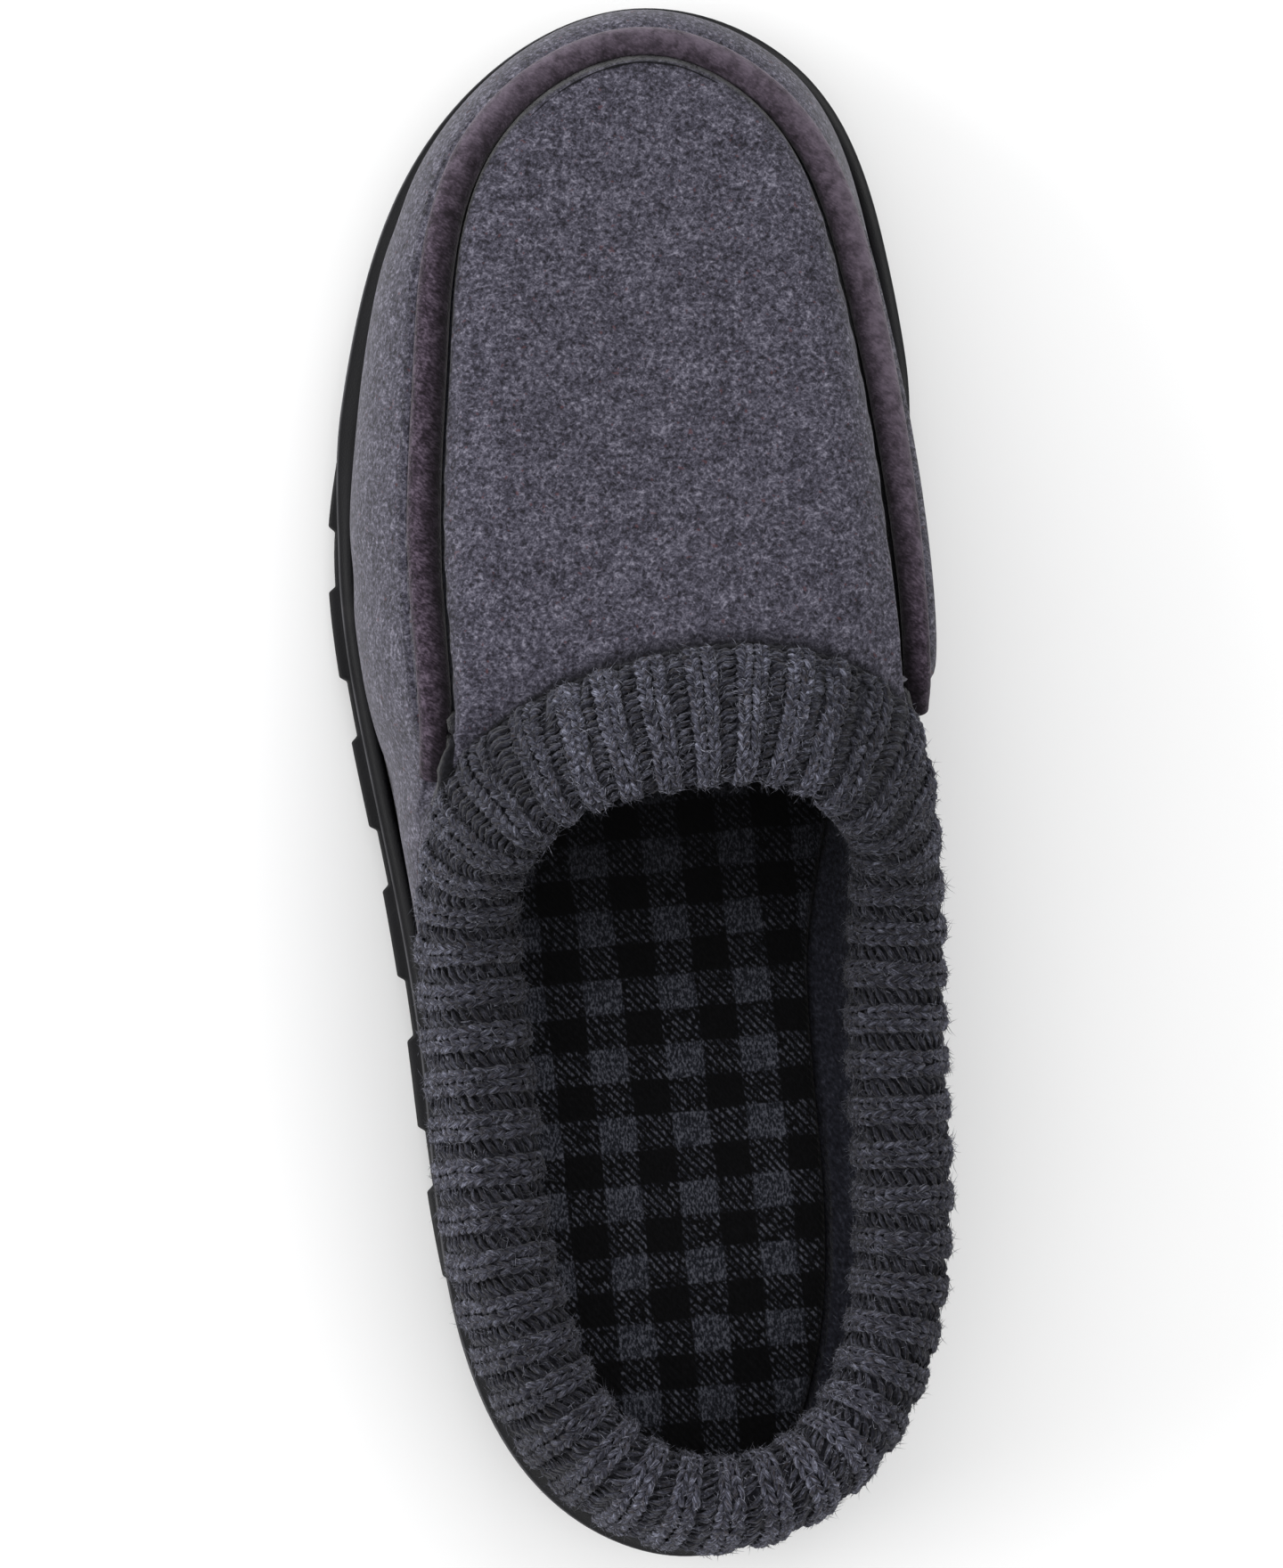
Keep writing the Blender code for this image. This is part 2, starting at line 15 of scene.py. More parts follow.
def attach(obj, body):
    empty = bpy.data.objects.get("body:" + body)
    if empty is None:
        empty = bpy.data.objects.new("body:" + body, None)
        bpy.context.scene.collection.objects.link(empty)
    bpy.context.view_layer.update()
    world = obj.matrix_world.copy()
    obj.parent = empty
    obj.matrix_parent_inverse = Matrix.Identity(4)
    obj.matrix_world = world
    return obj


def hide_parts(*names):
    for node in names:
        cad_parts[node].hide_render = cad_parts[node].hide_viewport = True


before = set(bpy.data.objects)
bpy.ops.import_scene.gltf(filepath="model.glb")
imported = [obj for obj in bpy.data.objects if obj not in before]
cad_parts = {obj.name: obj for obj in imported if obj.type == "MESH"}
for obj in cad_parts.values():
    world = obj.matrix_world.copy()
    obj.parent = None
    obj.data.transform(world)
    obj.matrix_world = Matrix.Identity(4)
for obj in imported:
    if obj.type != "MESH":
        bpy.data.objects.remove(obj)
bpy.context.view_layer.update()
random = np.random.default_rng(7)

# Driving dimensions
LENGTH = 0.294
BALL_WIDTH = 0.1146
HEEL_WIDTH = 0.0825
INSTEP_HEIGHT = 0.071
HEEL_HEIGHT = 0.047
TOE_HEIGHT = 0.024

# Outsole
BALL_SOLE = 0.015
HEEL_SOLE = 0.024
TOE_SPRING = 0.008
ARCH_LIFT = 0.0025
HEEL_ROLL = 0.003
LIP_HEIGHT = 0.0025
LIP_WIDTH = 0.0016
LIP_INSET = 0.0024
RIDGE_INSET = 0.0015
LUG_LENGTH = 0.0160
LUG_PITCH = 0.0285
LUG_PROUD = 0.0013
LUG_EDGE = 0.0014
LUG_LEAN = 0.0004
SHOULDER_INSET = 0.0006
RIDGE_ROUND = 0.0007
LUG_TUCK = 0.0013
TREAD_DEPTH = 0.0030
TREAD_BEVEL = 0.0022

# Upper
VAMP_WALL = 0.0035
QUARTER_WALL = 0.0070
OUTER_BULGE = 0.0028
INNER_BULGE = -0.0004
QUARTER_BULGE = 0.0060
APRON_PUFF = 0.0016
PUFF_REACH = 0.008
FELT_THICKNESS = 0.0016
LINING_THICKNESS = 0.0010

# Seam piping
PIPING_RADIUS = 0.0030
PIPING_LIFT = 0.0008
GROOVE_ROOM = 0.75

# Knitted collar
COLLAR_THICKNESS = 0.019
RIB_COUNT = 48
WALES = 4 * RIB_COUNT
COURSES = 38
RIB_DEPTH = 0.0012
COLLAR_SQUARENESS = 2.6

# Insole
INSOLE_THICKNESS = 0.0055
INSOLE_EDGE = 0.0020

# Gap that separate pieces keep between them
GAP = 0.0003

# Columns: station, across, along
OUTLINE = (
    ("heel_back", -0.058, -0.500),
    ("heel_corner_out", -0.374, -0.460),
    ("heel_out", -0.562, -0.354),
    ("waist_out", -0.588, -0.170),
    ("side_out", -0.533, -0.044),
    ("joint_out", -0.511, 0.041),
    ("ball_out", -0.500, 0.150),
    ("toe_out", -0.446, 0.279),
    ("toe_corner_out", -0.282, 0.424),
    ("toe_tip", 0.082, 0.500),
    ("toe_corner_in", 0.374, 0.444),
    ("toe_in", 0.480, 0.325),
    ("ball_in", 0.500, 0.224),
    ("joint_in", 0.457, 0.061),
    ("side_in", 0.429, -0.048),
    ("waist_in", 0.445, -0.170),
    ("heel_in", 0.436, -0.340),
    ("heel_corner_in", 0.263, -0.459),
)

# Columns: station, across, along, up, crown (share of INSTEP_HEIGHT)
SEAM = (
    ("heel_back", -0.058, -0.484, 0.170, 0.0),
    ("heel_corner_out", -0.362, -0.449, 0.170, 0.0),
    ("heel_out", -0.545, -0.352, 0.160, 0.0),
    ("waist_out", -0.568, -0.170, 0.160, 0.0),
    ("side_out", -0.490, -0.046, 0.250, 0.0),
    ("joint_out", -0.435, 0.018, 0.560, 0.01),
    ("ball_out", -0.395, 0.143, 0.613, 0.05),
    ("toe_out", -0.350, 0.272, 0.705, 0.05),
    ("toe_corner_out", -0.222, 0.417, 0.901, 0.01),
    ("toe_tip", 0.078, 0.468, 0.824, -0.02),
    ("toe_corner_in", 0.281, 0.414, 0.898, 0.01),
    ("toe_in", 0.360, 0.311, 0.754, 0.05),
    ("ball_in", 0.382, 0.218, 0.637, 0.05),
    ("joint_in", 0.399, 0.041, 0.600, 0.01),
    ("side_in", 0.428, -0.052, 0.270, 0.0),
    ("waist_in", 0.445, -0.170, 0.160, 0.0),
    ("heel_in", 0.420, -0.340, 0.160, 0.0),
    ("heel_corner_in", 0.248, -0.449, 0.170, 0.0),
)

# Columns: station, foot across, along, up, crest across, along, up, thickness (share of COLLAR_THICKNESS)
COLLAR = (
    ("heel_back", -0.058, -0.474, 0.277, -0.058, -0.444, 1.000, 0.86),
    ("heel_corner_out", -0.338, -0.439, 0.266, -0.308, -0.415, 0.989, 0.88),
    ("heel_out", -0.496, -0.349, 0.245, -0.460, -0.341, 0.947, 0.94),
    ("waist_out", -0.515, -0.170, 0.246, -0.484, -0.167, 0.781, 1.00),
    ("side_out", -0.456, -0.048, 0.384, -0.422, -0.068, 0.781, 0.88),
    ("joint_out", -0.411, 0.015, 0.625, -0.330, -0.036, 0.910, 0.62),
    ("ball_out", -0.336, 0.041, 0.718, -0.267, -0.020, 0.955, 0.52),
    ("toe_out", -0.238, 0.061, 0.795, -0.202, -0.012, 0.983, 0.49),
    ("toe_corner_out", -0.124, 0.074, 0.841, -0.114, -0.007, 1.005, 0.49),
    ("toe_tip", 0.046, 0.081, 0.859, 0.016, -0.005, 1.012, 0.49),
    ("toe_corner_in", 0.159, 0.076, 0.845, 0.084, -0.007, 1.003, 0.49),
    ("toe_in", 0.263, 0.063, 0.802, 0.143, -0.013, 0.983, 0.49),
    ("ball_in", 0.337, 0.047, 0.735, 0.196, -0.024, 0.952, 0.52),
    ("joint_in", 0.390, 0.026, 0.638, 0.248, -0.039, 0.907, 0.60),
    ("side_in", 0.425, -0.055, 0.398, 0.351, -0.075, 0.784, 0.88),
    ("waist_in", 0.443, -0.170, 0.255, 0.396, -0.170, 0.785, 1.00),
    ("heel_in", 0.404, -0.339, 0.255, 0.362, -0.334, 0.947, 0.94),
    ("heel_corner_in", 0.233, -0.441, 0.266, 0.197, -0.416, 0.989, 0.88),
)

# Columns: inset from the outline, how much further in where the sole isn't flared (both in metres),
# up (share of the sole's height), lug share, lip share
SOLE_PROFILE = (
    (TREAD_BEVEL, LUG_TUCK, 0.0, 1.0, 0.0),
    (LUG_LEAN, LUG_TUCK, 0.16, 1.0, 0.0),
    (0.0, LUG_TUCK, 0.50, 1.0, 0.0),
    (RIDGE_INSET + SHOULDER_INSET, -RIDGE_INSET, 0.60, 0.0, 0.0),
    (RIDGE_INSET, -RIDGE_INSET, 0.72, 0.0, 0.0),
    (RIDGE_INSET, -RIDGE_INSET, 0.82, 0.0, 0.0),
    (RIDGE_INSET + RIDGE_ROUND, -RIDGE_INSET, 0.88, 0.0, 0.0),
    (LIP_INSET, 0.0, 1.0, 0.0, 1.0),
    (LIP_INSET + LIP_WIDTH, 0.0, 1.0, 0.0, 1.0),
    (LIP_INSET + LIP_WIDTH, 0.0, 1.0, 0.0, 0.0),
)

COUNT = len(OUTLINE)
TOE_STATION = COUNT // 2

# Where the shape changes, from and to, in shares of LENGTH
WIDENING = (-0.25, 0.15)
REAR_SLOPE = (-0.30, 0.0)
FRONT_SLOPE = (0.10, 0.48)
SPRING_SPAN = (0.18, 0.50)
WEDGE_SPAN = (-0.30, 0.08)
ARCH_RISE = (-0.22, -0.12)
ARCH_FALL = (-0.06, 0.04)
ROLL_SPAN = (0.43, 0.50)
FLARE_RISE = (-0.40, -0.12)
FLARE_FALL = (0.16, 0.26)
THIN_WALL = (-0.14, -0.01)

# Station numbers round the toe, over which the outer side's bulge gives way to the inner side's
BULGE_CHANGE = (8.0, 10.5)
GROOVE_FADE = (4.4, 5.1)
PIPING_ENDS = (5.0, COUNT - 4.9)
UP = np.array((0.0, 0.0, 1.0))

# Half the step, in stations, over which a curve's direction is read, and the steps a station is walked in
NEAR = 0.02
WALK_STEPS = 120

# How high the wall's control point stands (share of its rise), and how far the plain wall's lies to its edge
WALL_CONTROL = 0.55
PLAIN_CONTROL = 0.6

# How much the roll's direction away from the foot turns outwards and upwards
ROLL_OUT = 1.2
ROLL_UP = 0.25


def ease(value, start, end):
    share = np.clip((np.asarray(value, float) - start) / (end - start), 0.0, 1.0)
    return share * share * (3 - 2 * share)


def between(station, limits):
    """1 from the second limit to the third, easing to 0 at the first and the fourth."""
    first, second, third, fourth = limits
    return ease(station, first, second) * (1 - ease(station, third, fourth))


def unit(vectors):
    return vectors / np.maximum(np.linalg.norm(vectors, axis=-1, keepdims=True), 1e-12)


def dot(first, second):
    return np.sum(first * second, axis=-1, keepdims=True)


def column(values):
    """A trailing axis, so that one number per place multiplies a vector per place."""
    return np.asarray(values, float)[..., None]


def local_width(along):
    return HEEL_WIDTH + (BALL_WIDTH - HEEL_WIDTH) * ease(along, *WIDENING)


def local_height(along):
    rear = ease(along, *REAR_SLOPE)
    front = ease(along, *FRONT_SLOPE)
    return HEEL_HEIGHT * (1 - rear) + INSTEP_HEIGHT * (rear - front) + TOE_HEIGHT * front


def toe_lift(along):
    start, end = SPRING_SPAN
    return TOE_SPRING * (np.maximum(0.0, np.asarray(along) - start) / (end - start)) ** 2


def platform(along):
    return BALL_SOLE + (HEEL_SOLE - BALL_SOLE) * (1 - ease(along, *WEDGE_SPAN)) + toe_lift(along)


def tread(along):
    arch = ARCH_LIFT * ease(along, *ARCH_RISE) * (1 - ease(along, *ARCH_FALL))
    return arch + toe_lift(along) + HEEL_ROLL * ease(-along, *ROLL_SPAN)


def flare(along):
    """1 where the lugs stand proud of the ridge above them, 0 where they are tucked under it."""
    return ease(along, *FLARE_RISE) * (1 - ease(along, *FLARE_FALL))


def place(across, along, up):
    return (across * local_width(along), along * LENGTH, platform(along) + up * local_height(along))


def closed_spline(points, guide=None):
    """A smooth closed curve through the points, read by station numbers."""
    points = np.array(points, float)
    guide = points if guide is None else np.array(guide, float)
    count = len(points)
    steps = np.linalg.norm(np.roll(guide, -1, axis=0) - guide, axis=1)
    slopes = (np.roll(points, -1, axis=0) - points) / steps[:, None]
    matrix = np.zeros((count, count))
    right = np.zeros_like(points)
    for row in range(count):
        before = row - 1
        matrix[row, before] += steps[row]
        matrix[row, row] += 2 * (steps[before] + steps[row])
        matrix[row, (row + 1) % count] += steps[before]
        right[row] = 3 * (steps[row] * slopes[before] + steps[before] * slopes[row])
    tangents = np.linalg.solve(matrix, right)

    def read(stations):
        stations = np.asarray(stations, float) % count
        row = stations.astype(int) % count
        t = (stations - row)[..., None]
        after = (row + 1) % count
        step = steps[row][..., None]
        start = (2 * t ** 3 - 3 * t ** 2 + 1) * points[row] + (t ** 3 - 2 * t ** 2 + t) * step * tangents[row]
        finish = (3 * t ** 2 - 2 * t ** 3) * points[after] + (t ** 3 - t ** 2) * step * tangents[after]
        return start + finish

    return read


outline_at = closed_spline([place(across, along, 0)[:2] for _, across, along in OUTLINE])
seam_at = closed_spline([place(*row[1:4]) for row in SEAM])
crown_at = closed_spline([(row[4],) for row in SEAM], guide=[place(*row[1:4]) for row in SEAM])
COLLAR_FEET = np.array([place(*row[1:4]) for row in COLLAR])
COLLAR_CRESTS = np.array([place(*row[4:7]) for row in COLLAR])
COLLAR_SHARES = np.array([(row[7],) for row in COLLAR])
collar_at = closed_spline(np.hstack((COLLAR_FEET, COLLAR_CRESTS, COLLAR_SHARES)),
                          guide=(COLLAR_FEET + COLLAR_CRESTS) / 2)


def walk(read, start, end):
    fine = np.linspace(start, end, WALK_STEPS * COUNT + 1)
    return fine, np.concatenate(([0.0], np.cumsum(np.linalg.norm(np.diff(read(fine), axis=0), axis=1))))


def even_stations(read, count, start=0.0, end=float(COUNT), endpoint=False):
    fine, walked = walk(read, start, end)
    return np.interp(np.linspace(0, walked[-1], count, endpoint=endpoint), walked, fine)


def paired_stations(count):
    outer = even_stations(outline_at, count // 2, 0.0, TOE_STATION)
    return np.concatenate((outer, even_stations(outline_at, count // 2, TOE_STATION, COUNT)))


def outward_at(station):
    ahead = outline_at(station + NEAR) - outline_at(station - NEAR)
    return unit(np.stack((-ahead[..., 1], ahead[..., 0], np.zeros(ahead.shape[:-1])), axis=-1))


def inset_point(station, inset):
    point = outline_at(station)
    flat = np.concatenate((point, np.zeros(point.shape[:-1] + (1,))), axis=-1)
    return flat - outward_at(station) * column(inset)


def wall_thickness(station):
    along = outline_at(station)[..., 1] / LENGTH
    return VAMP_WALL + (QUARTER_WALL - VAMP_WALL) * (1 - ease(along, *THIN_WALL))


def collar_frame(station):
    """Middle, half axis from foot to crest, and half thickness of the collar's section."""
    row = collar_at(station)
    foot, crest, share = row[..., :3], row[..., 3:6], row[..., 6:7]
    ahead = collar_at(station + NEAR) - collar_at(station - NEAR)
    travel = unit((ahead[..., :3] + ahead[..., 3:6]) / 2)
    axis = (crest - foot) / 2
    return (foot + crest) / 2, axis, unit(np.cross(axis, travel)) * share * COLLAR_THICKNESS / 2


def edge_at(station):
    middle, axis, _ = collar_frame(station)
    return middle - axis - unit(axis) * GAP


def seam_share(station):
    station = np.asarray(station, float)
    return ease(np.minimum(station, COUNT - station), *GROOVE_FADE)


def seam_frame(station):
    """Seam point, the direction away from the foot, and the direction from wall to apron."""
    point = seam_at(station)
    travel = unit(seam_at(station + NEAR) - seam_at(station - NEAR))
    share = column(seam_share(station))
    to_edge = unit(edge_at(station) - point)
    away = (UP - to_edge) * share + outward_at(station) * (ROLL_OUT - share) + UP * ROLL_UP * share
    away = unit(away)
    away = unit(away - travel * dot(away, travel))
    inner = np.cross(away, travel)
    inner = inner * np.where(dot(inner, to_edge) > 0, 1, -1)
    return point, away, unit(inner * share ** 2 + to_edge * (1 - share ** 2))


def groove_point(station, degrees, radius):
    """A place on the groove or the roll in it; 0 degrees is the bottom, +90 the apron's side."""
    point, away, inner = seam_frame(station)
    angle = np.radians(column(degrees))
    reach = np.linalg.norm(edge_at(station) - point, axis=-1, keepdims=True)
    room = GROOVE_ROOM * reach / (PIPING_RADIUS + GAP)
    across = np.sin(angle) * np.minimum(1.0, room)
    return point + away * PIPING_LIFT + column(radius) * (across * inner - np.cos(angle) * away)


def foot_point(station):
    base = inset_point(station, LIP_INSET + LIP_WIDTH + GAP)
    base[..., 2] = platform(base[..., 1] / LENGTH) + GAP
    return base


def bend(start, control, end, share):
    return start * (1 - share) ** 2 + control * 2 * share * (1 - share) + end * share ** 2


def wall_point(station, share, end):
    share = column(share)
    start = foot_point(station) + UP * (LIP_HEIGHT + GAP)
    rise = end[..., 2:3] - start[..., 2:3]
    bulge = column(OUTER_BULGE + (INNER_BULGE - OUTER_BULGE) * ease(station, *BULGE_CHANGE))
    return bend(start, start + UP * WALL_CONTROL * rise + outward_at(station) * bulge, end, share)


def apron_point(station, share, start):
    share = column(share)
    end = edge_at(station)
    span = np.linalg.norm(end - start, axis=-1, keepdims=True)
    crown = crown_at(station) * INSTEP_HEIGHT * 4 * share * (1 - share)
    puff = APRON_PUFF * np.minimum(1.0, share * span / PUFF_REACH) * (1 - share)
    return start + (end - start) * share + UP * (crown + puff)


def plain_point(station, share):
    start = foot_point(station) + UP * (LIP_HEIGHT + GAP)
    end = edge_at(station)
    control = start * (1 - PLAIN_CONTROL) + end * PLAIN_CONTROL + outward_at(station) * QUARTER_BULGE
    return bend(start, control, end, column(share))


def walked_rows(grid):
    """The distance along each column of a stations x rows grid, from its first row."""
    steps = np.linalg.norm(np.diff(grid, axis=1), axis=2)
    return np.concatenate((np.zeros((len(grid), 1)), np.cumsum(steps, axis=1)), axis=1)


def merge_columns(stations, vamp):
    """Fade each vamp column of points (stations x rows) into the plain wall's behind the joint."""
    walked = walked_rows(vamp)
    plain = plain_point(stations[:, None] + 0 * walked, walked / walked[:, -1:])
    share = seam_share(stations)[:, None, None]
    return vamp * share + plain * (1 - share)


def spread(stations, values):
    """Stations and row values as two equal grids."""
    return np.broadcast_arrays(stations[:, None], np.asarray(values, float)[None, :])


def outer_grid(stations, wall_rows, angles, apron_rows):
    """The felt's outer face as stations x rows of points."""
    groove = PIPING_RADIUS + GAP
    lip = groove_point(stations, angles[0] + 0 * stations, groove)
    wall = wall_point(*spread(stations, wall_rows), lip[:, None])
    bottom = groove_point(*spread(stations, angles), groove)
    apron = apron_point(*spread(stations, apron_rows), bottom[:, -1:])
    return merge_columns(stations, np.concatenate((wall, bottom, apron), axis=1))


def smooth_grid(stations, wall_rows, apron_rows):
    """The same face without the groove, which the inner face follows."""
    seam = seam_at(stations)[:, None]
    wall = wall_point(*spread(stations, wall_rows), seam)
    apron = apron_point(*spread(stations, apron_rows), seam)
    return merge_columns(stations, np.concatenate((wall, apron), axis=1))


def inner_grid(stations, wall_rows, apron_rows):
    """The upper's inner face, one wall thickness inside the smooth face."""
    grid = smooth_grid(stations, wall_rows, apron_rows)
    normals = grid_normals(grid)
    rim = unit(collar_frame(stations)[2])
    rim = rim * np.where(dot(rim, outward_at(stations)) > 0, 1, -1)
    rim = rim[:, None]
    walked = walked_rows(grid)
    height = (walked / walked[:, -1:])[..., None] ** 2
    share = seam_share(stations)[:, None, None]
    face = unit(normals * share + outward_at(stations)[:, None] * (1 - share))
    return grid - unit(face * (1 - height) + rim * height) * wall_thickness(stations)[:, None, None]


def grid_normals(grid):
    """Unit normals of a stations x rows grid, on the foot's outside."""
    around = np.roll(grid, -1, axis=0) - np.roll(grid, 1, axis=0)
    return unit(np.cross(np.gradient(grid, axis=1), around))


def add_mesh(name, points, *face_groups):
    """A mesh object from arrays of points and of equal-sided faces."""
    mesh = bpy.data.meshes.new(name)
    sizes = np.concatenate([np.full(len(group), group.shape[1]) for group in face_groups])
    corners = np.concatenate([group.ravel() for group in face_groups])
    mesh.vertices.add(len(points))
    mesh.vertices.foreach_set("co", np.asarray(points, np.float32).ravel())
    mesh.loops.add(len(corners))
    mesh.loops.foreach_set("vertex_index", corners.astype(np.int32))
    mesh.polygons.add(len(sizes))
    mesh.polygons.foreach_set("loop_start", np.concatenate(([0], np.cumsum(sizes)[:-1])).astype(np.int32))
    mesh.update(calc_edges=True)
    mesh.validate()
    mesh.shade_smooth()
    obj = bpy.data.objects.new(name, mesh)
    bpy.context.scene.collection.objects.link(obj)
    return obj


def quads(first_count, second_count, closed_first, closed_second):
    """Faces of a grid of points that is numbered row after row."""
    first = np.arange(first_count if closed_first else first_count - 1)
    second = np.arange(second_count if closed_second else second_count - 1)
    a, b = np.meshgrid(first, second, indexing="ij")
    next_a, next_b = (a + 1) % first_count, (b + 1) % second_count
    corners = (a * second_count + b, next_a * second_count + b, next_a * second_count + next_b,
               a * second_count + next_b)
    return np.stack([corner.ravel() for corner in corners], axis=1)


def thick_sheet(name, grid, thickness):
    """A ring of cloth: the grid is its outer face, and its inner face lies one thickness below."""
    back = grid - grid_normals(grid) * thickness
    both = np.concatenate((grid, back[:, ::-1]), axis=1)
    return add_mesh(name, both.reshape(-1, 3), quads(both.shape[0], both.shape[1], True, True))


def capped_rings(name, rings, columns, top=None):
    """A closed body from levels x stations of points. Strips from side to side fill the first and last level.

    top gives the height of the upper filling from the place along the foot.
    """
    levels, count = rings.shape[:2]
    half = count // 2
    partners = count - np.arange(1, half)
    share = np.linspace(0, 1, columns + 1)[None, 1:-1, None]
    points, faces = [rings.reshape(-1, 3)], [quads(levels, count, False, True)]
    start = levels * count
    for level, lowest in ((0, True), (levels - 1, False)):
        ring = rings[level]
        middle = ring[1:half, None] * (1 - share) + ring[partners, None] * share
        if top and not lowest:
            middle[..., 2] = top(middle[..., 1] / LENGTH)
        base = level * count
        numbers = start + np.arange((half - 1) * (columns - 1)).reshape(half - 1, -1)
        grid = np.concatenate((base + np.arange(1, half)[:, None], numbers, base + partners[:, None]), axis=1)
        block = np.stack((grid[:-1, :-1], grid[1:, :-1], grid[1:, 1:], grid[:-1, 1:]), axis=-1).reshape(-1, 4)
        heel, toe = [np.stack((np.full(len(row) - 1, tip), row[:-1], row[1:]), axis=1)
                     for tip, row in ((base, grid[0]), (base + half, grid[-1]))]
        fans = np.concatenate((heel, toe[:, ::-1]))
        faces += [block, fans] if lowest else [block[:, ::-1], fans[:, ::-1]]
        points.append(middle.reshape(-1, 3))
        start += len(points[-1])
    return add_mesh(name, np.concatenate(points), *faces)


def point_attribute(obj, name, values):
    attribute = obj.data.attributes.new(name, "FLOAT", "POINT")
    attribute.data.foreach_set("value", np.asarray(values, np.float32).ravel())


def dress(obj, material, slot, *replaced):
    obj.data.materials.append(material)
    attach(obj, "root")
    if replaced:
        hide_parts(*replaced)


# Materials


class Graph:
    """A material under construction. Its helpers return sockets."""

    def __init__(self, name, roughness, **constants):
        self.material = bpy.data.materials.new(name)
        self.material.use_nodes = True
        self.tree = self.material.node_tree
        self.shader = self.tree.nodes["Principled BSDF"]
        self.shader.inputs["Roughness"].default_value = roughness
        for key, value in constants.items():
            self.shader.inputs[key.replace("_", " ").title().replace("Ior", "IOR")].default_value = value

    def node(self, kind, **inputs):
        made = self.tree.nodes.new(kind)
        for key, value in inputs.items():
            self.feed(made.inputs[key.replace("_", " ")], value)
        return made

    def feed(self, socket, value):
        if isinstance(value, bpy.types.NodeSocket):
            self.tree.links.new(value, socket)
        else:
            socket.default_value = value

    def place(self, stretch=(1, 1, 1), turn=(0, 0, 0), source=None):
        """Coordinates that draw a pattern out along their own turned axes."""
        coordinates = source or self.node("ShaderNodeTexCoord").outputs["Object"]
        made = self.node("ShaderNodeMapping", Vector=coordinates, Scale=stretch, Rotation=turn)
        made.vector_type = "TEXTURE"
        return made.outputs[0]

    def attribute(self, name):
        made = self.tree.nodes.new("ShaderNodeAttribute")
        made.attribute_name = name
        return made

    def noise(self, scale, detail=2.0, vector=None, rough=0.5):
        made = self.node("ShaderNodeTexNoise", Vector=vector or self.place(), Scale=scale, Detail=detail,
                         Roughness=rough)
        return made.outputs["Fac"]

    def maths(self, operation, first, second=0.0):
        made = self.tree.nodes.new("ShaderNodeMath")
        made.operation = operation
        self.feed(made.inputs[0], first)
        self.feed(made.inputs[1], second)
        return made.outputs[0]

    def weighted(self, *pairs):
        """The sum of the values, each times its weight."""
        parts = [self.maths("MULTIPLY", value, weight) for value, weight in pairs]
        total = parts[0]
        for part in parts[1:]:
            total = self.maths("ADD", total, part)
        return total

    def limits(self, value, low, high, out_low=0.0, out_high=1.0):
        made = self.node("ShaderNodeMapRange", Value=value, From_Min=low, From_Max=high, To_Min=out_low,
                         To_Max=out_high)
        made.interpolation_type = "SMOOTHSTEP"
        return made.outputs[0]

    def ramp(self, factor, *stops):
        made = self.node("ShaderNodeValToRGB", Fac=factor)
        elements = made.color_ramp.elements
        while len(elements) < len(stops):
            elements.new(0.5)
        for element, (position, colour) in zip(elements, stops):
            element.position = position
            element.color = (*colour, 1.0)
        return made.outputs["Color"]

    def mix(self, factor, first, second, blend="MIX"):
        made = self.tree.nodes.new("ShaderNodeMix")
        made.data_type = "RGBA"
        made.blend_type = blend
        self.feed(made.inputs[0], factor)
        for socket, value in ((made.inputs[6], first), (made.inputs[7], second)):
            self.feed(socket, value if isinstance(value, bpy.types.NodeSocket) else (*value, 1.0))
        return made.outputs[2]

    def bump(self, height, distance, strength=1.0, below=None):
        made = self.node("ShaderNodeBump", Height=height, Distance=distance, Strength=strength)
        if below:
            self.feed(made.inputs["Normal"], below)
        return made.outputs[0]

    def finish(self, colour, normal=None):
        self.feed(self.shader.inputs["Base Color"], colour)
        if normal:
            self.feed(self.shader.inputs["Normal"], normal)
        return self.material


def felt_material():
    """Heathered felt of crossing fibres, with painted shade that darkens it in the creases beside the roll
    and the collar's edge.
    """
    graph = Graph("grey_felt", 0.95, sheen_weight=0.16, sheen_roughness=0.5, specular_ior_level=0.1)
    painted_crease_shade = graph.attribute("painted_crease_shade").outputs["Fac"]
    layers = [graph.noise(2500, 2, graph.place((1, 2.8, 2.2), turn), 0.6)
              for turn in ((0.2, 0.1, 0.7), (-0.3, 0.2, -0.6), (0.1, -0.4, 1.7))]
    fibres = graph.maths("MAXIMUM", graph.maths("MAXIMUM", layers[0], layers[1]), layers[2])
    clumps = graph.noise(1050, 3, None, 0.65)
    clouds = graph.noise(260, 2)
    tone = graph.weighted((fibres, 0.48), (clumps, 0.40), (clouds, 0.12))
    colour = graph.ramp(tone, (0.44, (0.010, 0.009, 0.013)), (0.52, (0.037, 0.035, 0.050)),
                        (0.58, (0.078, 0.074, 0.099)), (0.68, (0.198, 0.190, 0.236)))
    flecks = graph.limits(graph.noise(900, 1, graph.place((1, 2.5, 1), (0.9, 0.3, 1.2))), 0.70, 0.76)
    colour = graph.mix(graph.maths("MULTIPLY", flecks, 0.55), colour, (0.075, 0.030, 0.034))
    # Painted shade: the felt is darkened towards near-black in the creases beside the roll and the collar's
    # edge
    colour = graph.mix(graph.maths("MULTIPLY", painted_crease_shade, 0.90), colour, (0.003, 0.003, 0.004))
    return graph.finish(colour, graph.bump(tone, 0.0006, 0.9))


